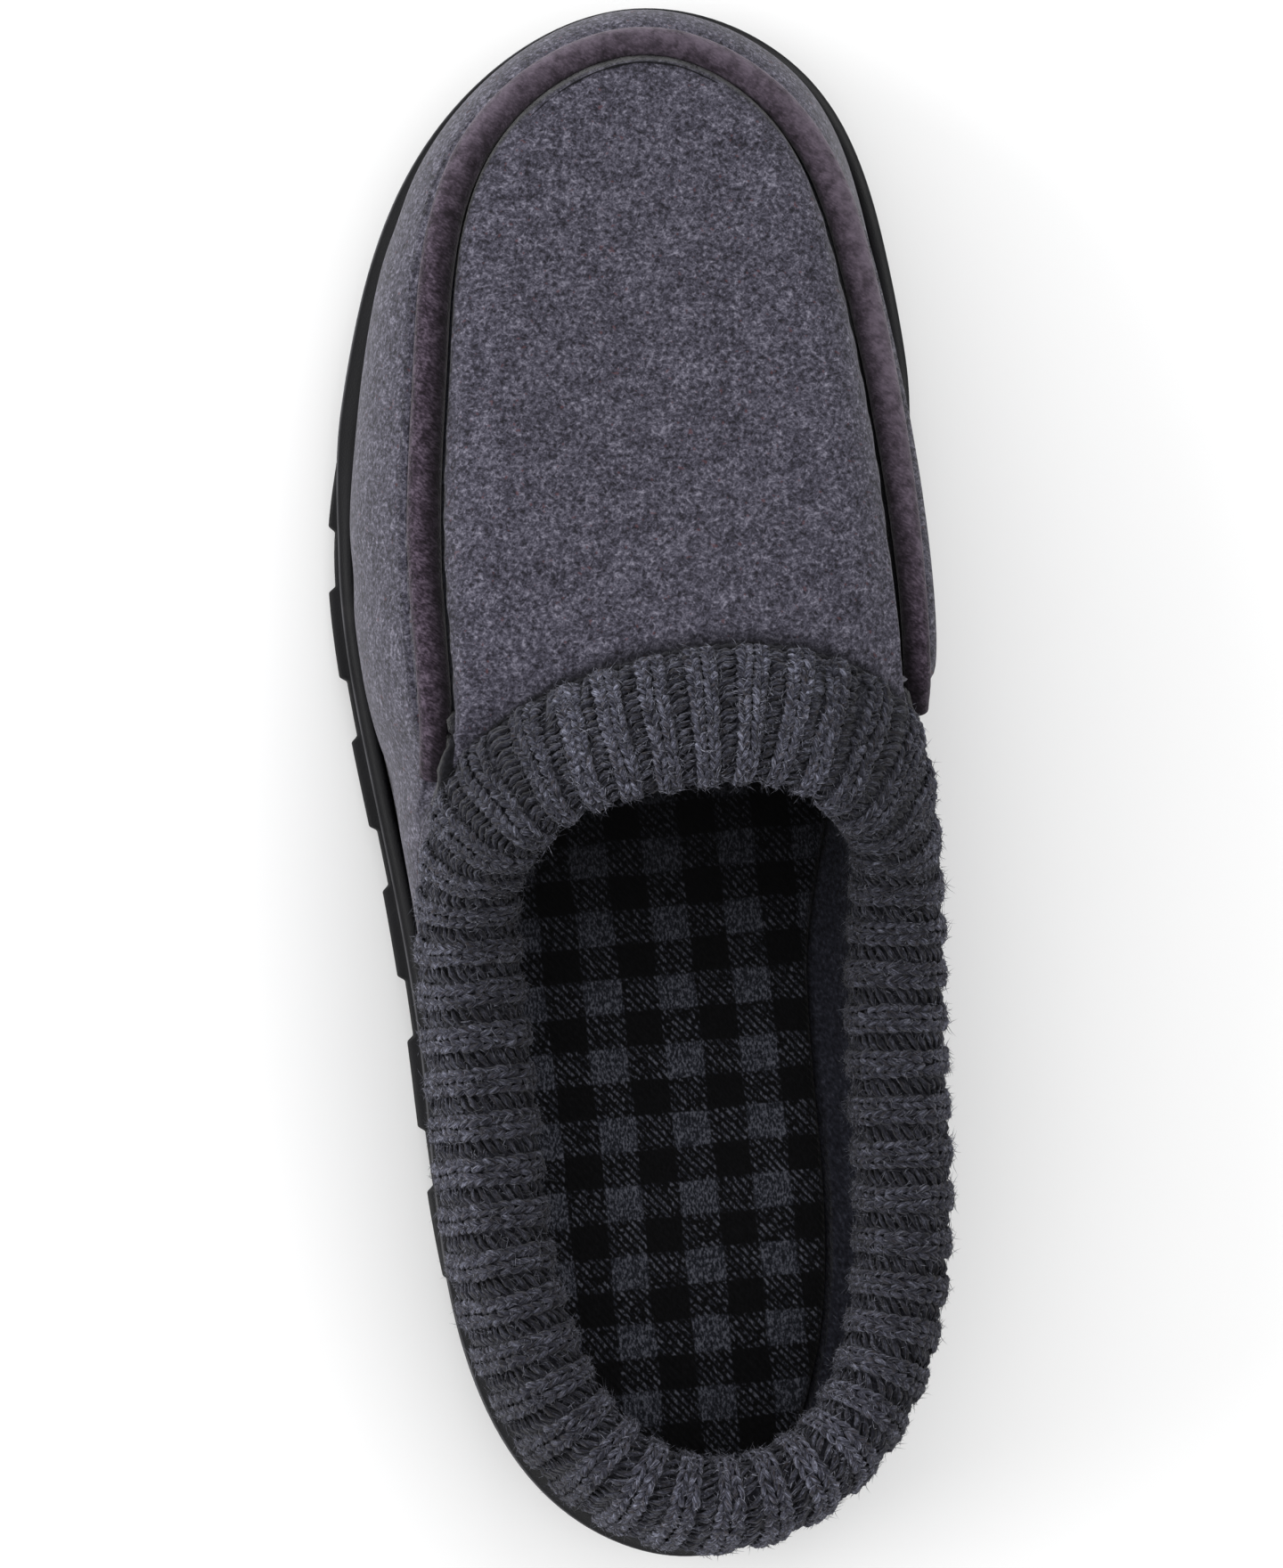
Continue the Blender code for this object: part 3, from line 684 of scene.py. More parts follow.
def suede_material():
    """Suede with a painted highlight on the roll's upper outer face and painted shade on its side towards the
    apron.
    """
    graph = Graph("plum_suede", 0.92, sheen_weight=0.16, sheen_roughness=0.4, specular_ior_level=0.1)
    nap = graph.noise(2400, 3, graph.place((1, 2.5, 1.5), (0, 0, 0.9)), 0.65)
    patches = graph.noise(420, 3, None, 0.6)
    tone = graph.weighted((nap, 0.58), (patches, 0.42))
    colour = graph.ramp(tone, (0.40, (0.009, 0.006, 0.009)), (0.50, (0.030, 0.021, 0.032)),
                        (0.63, (0.088, 0.068, 0.093)))
    # Painted highlight on the roll's upper outer face, broken up in patches
    roll_highlight = graph.attribute("roll_highlight").outputs["Fac"]
    colour = graph.mix(graph.maths("MULTIPLY", roll_highlight, graph.limits(patches, 0.25, 0.6, 0.35, 1.0)), colour,
                       (0.125, 0.102, 0.130))
    # Painted shade on the roll's side towards the apron
    roll_shade = graph.attribute("roll_shade").outputs["Fac"]
    colour = graph.mix(graph.maths("MULTIPLY", roll_shade, 0.75), colour, (0.004, 0.003, 0.004))
    return graph.finish(colour, graph.bump(tone, 0.0005, 0.8))


def rubber_material():
    graph = Graph("black_rubber", 0.72, specular_ior_level=0.07)
    grain = graph.noise(2200, 2)
    dust = graph.noise(90, 4, None, 0.6)
    colour = graph.ramp(dust, (0.35, (0.0040, 0.0040, 0.0046)), (0.62, (0.0080, 0.0080, 0.0090)),
                        (0.80, (0.015, 0.0145, 0.015)))
    # Painted highlight along the sole's ridge, broken up by the dust pattern
    ridge_highlight = graph.attribute("ridge_highlight").outputs["Fac"]
    colour = graph.mix(graph.maths("MULTIPLY", ridge_highlight, graph.limits(dust, 0.25, 0.75, 0.25, 0.8)), colour,
                       (0.110, 0.110, 0.120))
    graph.feed(graph.shader.inputs["Roughness"], graph.limits(dust, 0.3, 0.8, 0.62, 0.82))
    return graph.finish(colour, graph.bump(grain, 0.00025, 0.7))


def lining_material():
    graph = Graph("dark_flannel", 0.95, sheen_weight=0.10, sheen_roughness=0.5, specular_ior_level=0.1)
    nap = graph.noise(1700, 3, graph.place((1, 2.0, 1.4), (0.2, 0.1, 0.5)), 0.6)
    colour = graph.ramp(nap, (0.35, (0.008, 0.008, 0.012)), (0.55, (0.020, 0.021, 0.030)),
                        (0.75, (0.050, 0.052, 0.070)))
    return graph.finish(colour, graph.bump(nap, 0.0005, 0.7))


CHECK_ACROSS = 0.0143
CHECK_ALONG = 0.0130
TWILL_ACROSS = 0.00150
TWILL_ALONG = 0.00185
CHECK_WOBBLE = 0.0012
# Painted shade: the cloth is darkened deep inside under the apron, between these distances towards the toe
TOE_SHADE_SPAN = (-0.050, 0.010)


def check_material():
    """Gingham in a twill weave: grey on grey is grey, black on black is black, and mixed blocks are ruled."""
    graph = Graph("check_cloth", 0.95, sheen_weight=0.10, sheen_roughness=0.5, specular_ior_level=0.1)
    wobble = graph.node("ShaderNodeTexNoise", Vector=graph.place(), Scale=90.0, Detail=1.0).outputs["Color"]
    shifted = graph.node("ShaderNodeVectorMath", Vector=graph.place())
    shifted.operation = "MULTIPLY_ADD"
    for socket, value in zip(shifted.inputs, (wobble, (CHECK_WOBBLE, CHECK_WOBBLE, 0.0), graph.place())):
        graph.feed(socket, value)
    parts = graph.node("ShaderNodeSeparateXYZ", Vector=shifted.outputs[0]).outputs
    blocks = []
    for axis, period in ((0, CHECK_ACROSS), (1, CHECK_ALONG)):
        turns = graph.maths("FRACT", graph.maths("ADD", graph.maths("DIVIDE", parts[axis], period), 100.0))
        away = graph.maths("ABSOLUTE", graph.maths("SUBTRACT", turns, 0.5))
        blocks.append(graph.limits(away, 0.235, 0.265))
    lines = graph.maths("ADD", graph.maths("DIVIDE", parts[0], TWILL_ACROSS),
                        graph.maths("DIVIDE", parts[1], TWILL_ALONG))
    lines = graph.maths("FRACT", graph.maths("ADD", lines, 500.0))
    lines = graph.limits(graph.maths("ABSOLUTE", graph.maths("SUBTRACT", lines, 0.5)), 0.14, 0.32)
    yarn = graph.noise(2600, 2, graph.place((1, 2, 1)), 0.6)
    breaks = graph.limits(graph.noise(1100, 1), 0.36, 0.56)
    both = graph.maths("MULTIPLY", *blocks)
    mixed = graph.maths("SUBTRACT", graph.maths("MAXIMUM", *blocks), both)
    ruled = graph.maths("MULTIPLY", mixed, graph.maths("MULTIPLY", lines, breaks))
    shade = graph.maths("MAXIMUM", both, ruled)
    grey = graph.ramp(yarn, (0.40, (0.010, 0.011, 0.015)), (0.50, (0.032, 0.034, 0.045)),
                      (0.64, (0.115, 0.119, 0.146)))
    black = graph.ramp(yarn, (0.4, (0.0022, 0.0022, 0.0026)), (0.7, (0.0055, 0.0055, 0.0065)))
    height = graph.weighted((yarn, 0.6), (lines, 0.4))
    cloth = graph.mix(shade, black, grey)
    # Painted shade deep inside the toe
    toe_shade = graph.limits(parts[1], *TOE_SHADE_SPAN, 0.0, 0.85)
    cloth = graph.mix(toe_shade, cloth, (0.002, 0.002, 0.0024))
    return graph.finish(cloth, graph.bump(height, 0.0004, 0.7))


YARN_TONES = ((0.005, 0.005, 0.008), (0.021, 0.021, 0.030), (0.068, 0.069, 0.094), (0.290, 0.300, 0.385))
BROWN_FIBRE = (0.060, 0.046, 0.040)

# Painted shade: the knit is darkened along the opening's sides. The shade's start, full depth and end, as
# distances from the collar's middle line, and how deep it is
COLLAR_MIDDLE = -0.003
SIDE_SHADE = (0.020, 0.033)
RIM_LIGHT = (0.041, 0.049)
SHADE_DEPTH = 0.44


def side_shade(graph, colour):
    across = graph.node("ShaderNodeSeparateXYZ", Vector=graph.place()).outputs[0]
    away = graph.maths("ABSOLUTE", graph.maths("SUBTRACT", across, COLLAR_MIDDLE))
    shade = graph.maths("MULTIPLY", graph.limits(away, *SIDE_SHADE, 0.0, SHADE_DEPTH),
                        graph.limits(away, *RIM_LIGHT, 1.0, 0.0))
    # Painted shade mixed into the yarn's colour
    return graph.mix(shade, colour, (0.002, 0.002, 0.003))


def yarn_material(name, lift):
    """Marled yarn. The fibre attribute runs along and round each stitch, with a start of its own for each."""
    graph = Graph(name, 0.95, sheen_weight=0.09, sheen_roughness=0.5, specular_ior_level=0.1)
    fibre = graph.attribute("fibre").outputs["Vector"]
    strands = graph.noise(1.5, 3, graph.place((3.2, 0.6, 0.6), source=fibre), 0.7)
    patches = graph.noise(0.45, 1, fibre)
    hairs = graph.noise(2300, 2, graph.place((1, 3.0, 2.0), (0.3, 0.2, 0.8)), 0.6)
    tone = graph.weighted((strands, 0.58), (patches, 0.24), (hairs, 0.18))
    tones = (*YARN_TONES, BROWN_FIBRE)
    low, middle, high, top, brown = [tuple(lift * part for part in colour) for colour in tones]
    colour = graph.ramp(tone, (0.39, low), (0.46, middle), (0.54, high), (0.66, top))
    mottle = graph.noise(1.1, 1, graph.place((1.4, 0.7, 0.7), (0.4, 0.2, 0.1), fibre))
    colour = graph.mix(graph.limits(mottle, 0.58, 0.68, 0.0, 0.40), colour, brown)
    height = graph.weighted((strands, 0.5), (hairs, 0.5))
    return graph.finish(side_shade(graph, colour), graph.bump(height, 0.0005, 0.8))


def backing_material():
    """The yarn behind the stitches: the same wool, with painted shade where the ribs draw in."""
    graph = Graph("knit_ground", 0.97, sheen_weight=0.10, specular_ior_level=0.1)
    grain = graph.noise(1500, 3, graph.place((1, 2.0, 1.5), (0.2, 0.1, 0.6)), 0.6)
    ridge = graph.attribute("ridge").outputs["Fac"]
    colour = graph.ramp(grain, (0.36, (0.006, 0.006, 0.009)), (0.52, (0.024, 0.024, 0.032)),
                        (0.66, (0.085, 0.086, 0.108)))
    # Painted shade in the hollows between the ribs
    colour = graph.mix(graph.limits(ridge, 0.0, 1.0, 0.55, 0.0), colour, (0.008, 0.008, 0.011))
    return graph.finish(colour, graph.bump(grain, 0.0006, 0.9))


def hair_material():
    graph = Graph("wool_fuzz", 0.95, sheen_weight=0.12, specular_ior_level=0.1)
    grain = graph.noise(900, 2, None, 0.6)
    colour = graph.ramp(grain, (0.38, (0.014, 0.014, 0.020)), (0.52, (0.066, 0.067, 0.088)),
                        (0.64, (0.27, 0.275, 0.335)))
    return graph.finish(side_shade(graph, colour), graph.bump(grain, 0.0002, 0.5))


def thread_material():
    graph = Graph("dark_thread", 0.8, specular_ior_level=0.2)
    grain = graph.noise(3000, 2)
    colour = graph.ramp(grain, (0.3, (0.004, 0.004, 0.005)), (0.7, (0.022, 0.022, 0.028)))
    return graph.finish(colour, graph.bump(grain, 0.0002, 0.6))


def floor_material():
    graph = Graph("studio_floor", 0.85, specular_ior_level=0.1)
    clouds = graph.noise(6, 2)
    colour = graph.ramp(clouds, (0.3, (0.93, 0.93, 0.93)), (0.7, (0.95, 0.95, 0.95)))
    return graph.finish(colour)


# Pieces


def round_profile(rows, passes):
    """Cut the corners of an open line of rows, keeping both ends."""
    rows = np.array(rows, float)
    for _ in range(passes):
        cut = np.empty((2 * len(rows) - 2, rows.shape[1]))
        cut[0::2] = rows[:-1] * 0.75 + rows[1:] * 0.25
        cut[1::2] = rows[:-1] * 0.25 + rows[1:] * 0.75
        rows = np.concatenate((rows[:1], cut, rows[-1:]))
    return rows


def lug_marks(reach):
    """Distances along one side of the sole with 1 on a lug and 0 in the hollow between lugs."""
    half = LUG_LENGTH / 2
    marks = [(0.0, 1.0), (half, 1.0), (half + LUG_EDGE, 0.0)]
    for number in range(1, int((reach - LUG_LENGTH) / LUG_PITCH) + 1):
        centre = number * reach / round(reach / LUG_PITCH)
        marks += [(centre - half - LUG_EDGE, 0.0), (centre - half, 1.0), (centre + half, 1.0)]
        marks.append((centre + half + LUG_EDGE, 0.0))
    marks += [(reach - half - LUG_EDGE, 0.0), (reach - half, 1.0), (reach, 1.0)]
    return marks


SOLE_STEP = 0.0022
EDGE_STEPS = 5
# The share of the sole's height, from below, over which the hollows' depth runs out
TREAD_SHARE = 0.10


def lug_stations(start, end, reach):
    """Stations of one side of the sole and their lug shares, close together at the lugs' rounded edges."""
    fine, walked = walk(outline_at, start, end)
    marks = lug_marks(reach)
    places, lugs = [], []
    for (low, first), (high, second) in zip(marks, marks[1:]):
        steps = EDGE_STEPS if first != second else max(1, math.ceil((high - low) / SOLE_STEP))
        share = np.arange(steps) / steps
        places += list(low + (high - low) * share)
        lugs += list(first + (second - first) * ease(share, 0, 1))
    places.append(marks[-1][0])
    lugs.append(marks[-1][1])
    return np.interp(np.array(places) / reach * walked[-1], walked, fine), np.array(lugs)


def sole_points(stations, lugs, level):
    inset, tuck, up, lug_share, lip_share = level
    hollow = (1 - lugs) * lug_share
    tucked = tuck * (1 - flare(outline_at(stations)[..., 1] / LENGTH))
    point = inset_point(stations, inset + tucked + hollow * LUG_PROUD)
    along = point[..., 1] / LENGTH
    under = 1 - ease(up, 0.0, TREAD_SHARE)
    low = tread(along) + hollow * TREAD_DEPTH * under
    point[..., 2] = low + (platform(along) - low) * up + LIP_HEIGHT * lip_share
    return point


TREAD_COLUMNS = 26
# Painted highlight along the sole's ridge: its height as a share of the sole's, and its width
RIDGE_LIGHT_UP = 0.80
RIDGE_LIGHT_WIDTH = 0.025


def make_outsole():
    reach = walk(outline_at, 0.0, TOE_STATION)[1][-1]
    outer, outer_lugs = lug_stations(0.0, TOE_STATION, reach)
    inner, inner_lugs = lug_stations(COUNT, TOE_STATION, reach)
    stations = np.concatenate((outer, inner[1:-1][::-1]))
    lugs = np.concatenate((outer_lugs, inner_lugs[1:-1][::-1]))
    levels = round_profile(SOLE_PROFILE, 2)
    rings = np.array([sole_points(stations, lugs, level) for level in levels])
    sole = capped_rings("rubber_outsole", rings, TREAD_COLUMNS)
    sole.data.set_sharp_from_angle(angle=math.radians(60))
    # Painted highlight on the rings round the ridge
    ridge_highlight = np.zeros(len(sole.data.vertices))
    ridge = np.exp(-((levels[:, 2] - RIDGE_LIGHT_UP) / RIDGE_LIGHT_WIDTH) ** 2)
    ridge_highlight[:ridge.size * len(stations)] = np.repeat(ridge, len(stations))
    point_attribute(sole, "ridge_highlight", ridge_highlight)
    dress(sole, rubber_material(), "black_rubber", "outsole")


FELT_STATIONS = 440
WALL_ROWS = np.linspace(0, 1, 23)[:-1]
GROOVE_ANGLES = np.linspace(-90, 90, 15)
APRON_ROWS = np.linspace(0, 1, 34)[1:] ** 1.15
LINING_STATIONS = 320
SMOOTH_WALL_ROWS = np.linspace(0, 1, 16)[:-1]
SMOOTH_APRON_ROWS = np.linspace(0, 1, 20)

# How far the felt dives beside the roll and the collar, and from how far away
LIP_DIP = 0.0006
LIP_REACH = 0.0040
EDGE_DIP = 0.0004
EDGE_REACH = 0.0022
# Painted shade in the creases: its reach from the roll and the collar's edge, its share on the wall's side of
# the roll and its share at the collar's edge
CREASE_SHADE = 0.0012
WALL_SHADE = 0.08
EDGE_SHADE = 0.7

# The puckers along the roll, and how their pitch drifts
PUCKER_PITCH = 0.0085
PUCKER_DEPTH = 0.00016
PUCKER_REACH = 0.006
PUCKER_DRIFT = 1.7
DRIFT_REACH = 0.031

# The creases fade out within this reach of the felt's edges and of the roll
CREASE_FADE = 0.006
ROLL_FADE = 0.004

# Where the wall swells, or tucks in where the depth is negative: depth, stations, and the power of the wall's
# height that puts the fullest place low (under 1) or high (over 1)
WALL_SWELLS = (
    (0.0018, (4.6, 5.4, 8.6, 10.2), 0.7),
    (0.0012, (6.4, 8.0, 9.8, 11.2), 0.5),
    (-0.0014, (9.8, 10.8, 13.4, 14.4), 1.5),
)

# How far the soft lining stands in over the footbed on the inner side, and how fast that falls off upwards
LINING_PAD = 0.0024
PAD_STATIONS = (11.0, 12.8, 16.4, 17.4)
PAD_FALL = 1.3

# Columns: across and along of the middle, turn from the cross direction in degrees, half length, half width
# and depth in metres; a negative depth is a ridge
CREASES = (
    (-0.10, 0.255, 12, 0.030, 0.0065, 0.00055),
    (0.17, 0.180, -16, 0.026, 0.0070, 0.00060),
    (-0.20, 0.120, 24, 0.020, 0.0050, 0.00045),
    (0.05, 0.335, -8, 0.022, 0.0060, -0.00045),
    (0.28, 0.080, -38, 0.018, 0.0045, 0.00045),
    (-0.02, 0.060, 6, 0.028, 0.0060, -0.00040),
    (-0.47, 0.150, 8, 0.010, 0.0060, 0.00055),
    (-0.50, 0.020, -10, 0.012, 0.0055, 0.00050),
    (-0.52, -0.110, 14, 0.012, 0.0060, 0.00060),
    (-0.54, -0.260, -12, 0.012, 0.0070, 0.00055),
    (-0.42, -0.430, 30, 0.010, 0.0060, 0.00050),
    (0.42, -0.120, 10, 0.012, 0.0060, 0.00055),
    (0.42, -0.280, -14, 0.012, 0.0065, 0.00055),
    (0.46, 0.120, -8, 0.010, 0.0060, 0.00045),
    (-0.33, 0.370, 36, 0.010, 0.0055, 0.00045),
    (0.20, -0.470, -30, 0.010, 0.0060, 0.00045),
)
CREASE_BEND = 0.12
CREASE_WAVE = 2.2


def crease_depth(points):
    """How far the listed troughs lower the felt at each point."""
    depth = np.zeros(points.shape[:-1])
    for across, along, turn, half_length, half_width, trough in CREASES:
        x = points[..., 0] - across * local_width(along)
        y = points[..., 1] - along * LENGTH
        turn = math.radians(turn)
        run = (x * math.cos(turn) + y * math.sin(turn)) / half_length
        bent = CREASE_BEND * half_length * np.sin(CREASE_WAVE * run)
        away = (y * math.cos(turn) - x * math.sin(turn) + bent) / half_width
        depth += trough * np.exp(-run ** 2 - away ** 2)
    return depth


def sink_felt(grid, stations):
    """Creases, the dips beside the roll and the collar, and the painted crease shade of every point."""
    low = 1 + len(WALL_ROWS)
    high = low + len(GROOVE_ANGLES) - 1
    rows = np.arange(grid.shape[1])
    outside = (rows < low) | (rows > high)
    walked = walked_rows(grid)
    share = seam_share(stations)[:, None]
    beyond = np.maximum(0, walked - walked[:, high:high + 1])
    away = np.where(rows < low, walked[:, low:low + 1] - walked, beyond)
    edge = walked[:, -1:] - walked
    height = np.clip(walked / walked[:, low:low + 1], 0, 1)
    groove = np.zeros(grid.shape[1])
    groove[low:high + 1] = 1 - np.abs(np.sin(np.radians(GROOVE_ANGLES)))

    dip = LIP_DIP * np.clip(1 - away / LIP_REACH, 0, 1) ** 2 * (1 - groove) * share
    dip += EDGE_DIP * np.clip(1 - edge / EDGE_REACH, 0, 1) ** 2
    reach = walked_rows(grid[None, :, high])[0][:, None]
    pucker = np.sin(2 * math.pi * reach / PUCKER_PITCH + PUCKER_DRIFT * np.sin(reach / DRIFT_REACH))
    dip += PUCKER_DEPTH * pucker * np.exp(-(away / PUCKER_REACH) ** 2) * share * outside
    for depth, limits, power in WALL_SWELLS:
        dip -= between(stations, limits)[:, None] * np.sin(math.pi * height ** power) * depth * (rows < low)
    fade = np.clip(walked / CREASE_FADE, 0, 1) * np.clip(edge / CREASE_FADE, 0, 1)
    dip += crease_depth(grid) * fade * np.where(outside, 1 - np.exp(-(away / ROLL_FADE) ** 2) * share, 0)

    # Painted shade beside the roll, weak on the wall's side, and beside the collar's edge
    beside = np.where(rows < low + len(GROOVE_ANGLES) // 3, WALL_SHADE, 1)
    shade = np.exp(-(away / CREASE_SHADE) ** 2) * share * beside
    shade = np.maximum(shade, EDGE_SHADE * np.exp(-(edge / CREASE_SHADE) ** 2))
    return grid - grid_normals(grid) * dip[..., None], shade


def lining_pad(station):
    return LINING_PAD * between(station, PAD_STATIONS)


def make_upper(felt):
    stations = paired_stations(FELT_STATIONS)
    grid = outer_grid(stations, WALL_ROWS, GROOVE_ANGLES, APRON_ROWS)
    foot = foot_point(stations)[:, None]
    grid, shade = sink_felt(np.concatenate((foot, grid), axis=1), stations)
    split = 1 + len(WALL_ROWS) + len(GROOVE_ANGLES) // 2
    for name, rows in (("felt_wall", slice(0, split + 1)), ("felt_apron", slice(split, None))):
        piece = thick_sheet(name, grid[:, rows], FELT_THICKNESS)
        part = shade[:, rows]
        # The painted crease shade, on both faces of the sheet
        point_attribute(piece, "painted_crease_shade", np.concatenate((part, part[:, ::-1]), axis=1))
        dress(piece, felt, "grey_felt", "upper")
    stations = paired_stations(LINING_STATIONS)
    inner = inner_grid(stations, SMOOTH_WALL_ROWS, SMOOTH_APRON_ROWS)
    rise = np.linspace(0, 1, inner.shape[1])[None, :, None]
    pad = column(lining_pad(stations))[:, None] * (1 - rise) ** PAD_FALL
    inner = inner - outward_at(stations)[:, None] * pad
    base = inner[:, :1].copy()
    base[..., 2] = foot_point(stations)[:, None, 2]
    inner = np.concatenate((base, inner), axis=1)
    back = inner + grid_normals(inner) * LINING_THICKNESS
    lining = thick_sheet("flannel_lining", back, LINING_THICKNESS)
    dress(lining, lining_material(), "dark_flannel", "upper")


PIPING_STATIONS = 700
PIPING_SIDES = 20
# How much thinner the roll is in places, and how many stations apart
WANDER = 0.03
WANDER_STEP = 14
# Painted highlight on the roll's upper outer face: stations, the angle round the roll, how much, and the
# least share of it
HIGHLIGHT_STATIONS = (7.2, 8.6, 11.6, 13.0)
TOP_ANGLE = 205
HIGHLIGHT_SHARE = 0.66
HIGHLIGHT_LEAST = 0.4
# How far the inner side's roll lies towards the wall
ROLL_SHIFT = 0.0007
SHIFT_STATIONS = (9.2, 10.6, 13.4, 14.0)
# Painted shade on the side of the roll that faces the apron, and how much less of it there is under the
# painted highlight
ROLL_SHADE_ANGLE = 112
ROLL_SHADE_LOSS = 0.75
# Share of the full radius at stations along the roll
PIPING_WIDTHS = ((5.0, 0.92), (5.4, 1.05), (7.0, 1.08), (8.0, 1.05), (9.0, 1.00), (10.0, 1.02), (11.0, 1.06),
                 (12.0, 1.02), (12.6, 0.90), (13.1, 0.85))


def make_piping():
    stations = even_stations(seam_at, PIPING_STATIONS, *PIPING_ENDS, endpoint=True)
    angles = np.arange(PIPING_SIDES) * 360 / PIPING_SIDES - 90
    wander = np.interp(np.arange(PIPING_STATIONS), np.arange(0, PIPING_STATIONS + WANDER_STEP, WANDER_STEP),
                       random.uniform(-WANDER, 0.0, PIPING_STATIONS // WANDER_STEP + 1))
    radius = PIPING_RADIUS * (1 + wander) * np.interp(stations, *zip(*PIPING_WIDTHS))
    grid = groove_point(*spread(stations, angles), radius[:, None])
    shift = seam_frame(stations)[2] * column(ROLL_SHIFT * between(stations, SHIFT_STATIONS))
    grid = grid - shift[:, None]
    end = np.arange(PIPING_SIDES)[None]
    roll = add_mesh("suede_seam_roll", grid.reshape(-1, 3), quads(len(stations), PIPING_SIDES, False, True),
                    end[:, ::-1], end + (len(stations) - 1) * PIPING_SIDES)
    # Painted highlight, strongest at TOP_ANGLE round the roll
    top = HIGHLIGHT_LEAST + (1 - HIGHLIGHT_LEAST) * np.clip(np.cos(np.radians(angles - TOP_ANGLE)), 0, 1)
    roll_highlight = between(stations, HIGHLIGHT_STATIONS)[:, None]
    point_attribute(roll, "roll_highlight", roll_highlight * top * HIGHLIGHT_SHARE)
    # Painted shade on the roll's side towards the apron, less under the painted highlight
    roll_shade = np.clip(np.cos(np.radians(angles - ROLL_SHADE_ANGLE)), 0, 1) ** 3
    point_attribute(roll, "roll_shade", roll_shade * (1 - ROLL_SHADE_LOSS * roll_highlight))
    dress(roll, suede_material(), "plum_suede", "seam_piping")


INSOLE_STATIONS = 300
INSOLE_COLUMNS = 40
# The upper edge's rounding: how far in and how far down, in shares of INSOLE_EDGE
EDGE_ROUND = ((0.0, 1.0), (0.13, 0.5), (0.5, 0.13), (1.0, 0.0))


def make_insole():
    stations = paired_stations(INSOLE_STATIONS)
    clear = LIP_INSET + LIP_WIDTH + GAP + wall_thickness(stations) + GAP + lining_pad(stations)
    rings = []
    edge = [(INSOLE_EDGE * inwards, INSOLE_THICKNESS - INSOLE_EDGE * down) for inwards, down in EDGE_ROUND]
    for inset, height in [(0.0, 0.0)] + edge:
        ring = inset_point(stations, clear + inset)
        ring[..., 2] = platform(ring[..., 1] / LENGTH) + GAP + height
        rings.append(ring)
    insole = capped_rings("check_insole", np.array(rings), INSOLE_COLUMNS,
                          top=lambda along: platform(along) + GAP + INSOLE_THICKNESS)
    dress(insole, check_material(), "check_cloth", "insole")


# The collar's surface is read from a fine grid, wales round the opening by courses round the section, with
# FINE lines to a wale and twice as many to a course
FINE = 4
GROUND_WALES = WALES * FINE
GROUND_COURSES = COURSES * 2 * FINE
GROUND_DEPTH = 0.0010

# Wale numbers within a rib's four: its middle, the columns of knit stitches and the column of purl between
RIB_MIDDLE = 2 / 3
KNIT_SPREAD = 0.66
KNIT_WALES = (RIB_MIDDLE - KNIT_SPREAD, RIB_MIDDLE + KNIT_SPREAD)
PURL_WALE = RIB_MIDDLE + 2
WALE_WIDTH = 0.0025
DRAWN_IN = 0.90 * RIB_DEPTH

# Where the ribs lean at the front's corners, in stations, and by how much
LEAN_STATIONS = (6.2, 11.8)
LEAN_SPREAD = 1.2
LEAN_WALES = 2.8
WALE_WAVE = 0.12
# The wave's radians for each course, each pair of wales and each wale
WAVE_TURNS = (0.55, 2.4, 0.13)
# Wales from the rib's middle over which it falls into the hollow
RIB_EDGE = (0.7, 1.8)


def rib_share(wale):
    """1 on a rib, 0 in the hollow between two."""
    away = np.abs((wale - RIB_MIDDLE + 2) % 4 - 2)
    return 1 - ease(away, *RIB_EDGE)


def lean(stations):
    """How many wales the ribs' feet lie nearer the front's middle than their crests."""
    first, last = LEAN_STATIONS
    return LEAN_WALES * (np.exp(-((stations - first) / LEAN_SPREAD) ** 2)
                         - np.exp(-((stations - last) / LEAN_SPREAD) ** 2))


def collar_surface():
    """The knit's face on an even grid: points, outward normals and the ribs' sideways lean in wales."""
    stations = even_stations(lambda s: collar_frame(s)[0], GROUND_WALES)
    middle, axis, side = collar_frame(stations)
    reach = np.linalg.norm(axis, axis=1)
    thick = np.linalg.norm(side, axis=1)
    angle = np.linspace(-math.pi, math.pi, 4 * GROUND_COURSES + 1)
    up = np.sign(np.cos(angle)) * np.abs(np.cos(angle)) ** (2 / COLLAR_SQUARENESS)
    out = np.sign(np.sin(angle)) * np.abs(np.sin(angle)) ** (2 / COLLAR_SQUARENESS)
    foot = (1 - np.cos(angle)) / 2
    shift = lean(stations)
    grid = np.empty((GROUND_WALES, GROUND_COURSES, 4))
    for i in range(GROUND_WALES):
        moved = shift[i] * foot
        drawn = DRAWN_IN * (1 - rib_share(i / FINE - moved))
        section = middle[i] + np.outer(up * (1 - drawn / reach[i]), axis[i])
        section += np.outer(out * (1 - drawn / thick[i]), side[i])
        walked = np.concatenate(([0.0], np.cumsum(np.linalg.norm(np.diff(section, axis=0), axis=1))))
        even = np.linspace(0, walked[-1], GROUND_COURSES, endpoint=False)
        columns = (*section.T, moved)
        grid[i] = np.stack([np.interp(even, walked, values) for values in columns], axis=1)
    points = grid[..., :3]
    around = np.roll(points, -2, axis=0) - np.roll(points, 2, axis=0)
    upward = np.roll(points, -3, axis=1) - np.roll(points, 3, axis=1)
    normals = unit(np.cross(upward, around))
    away = points - middle[:, None]
    return points, normals * np.where(dot(normals, away).mean() > 0, 1, -1), grid[..., 3:]


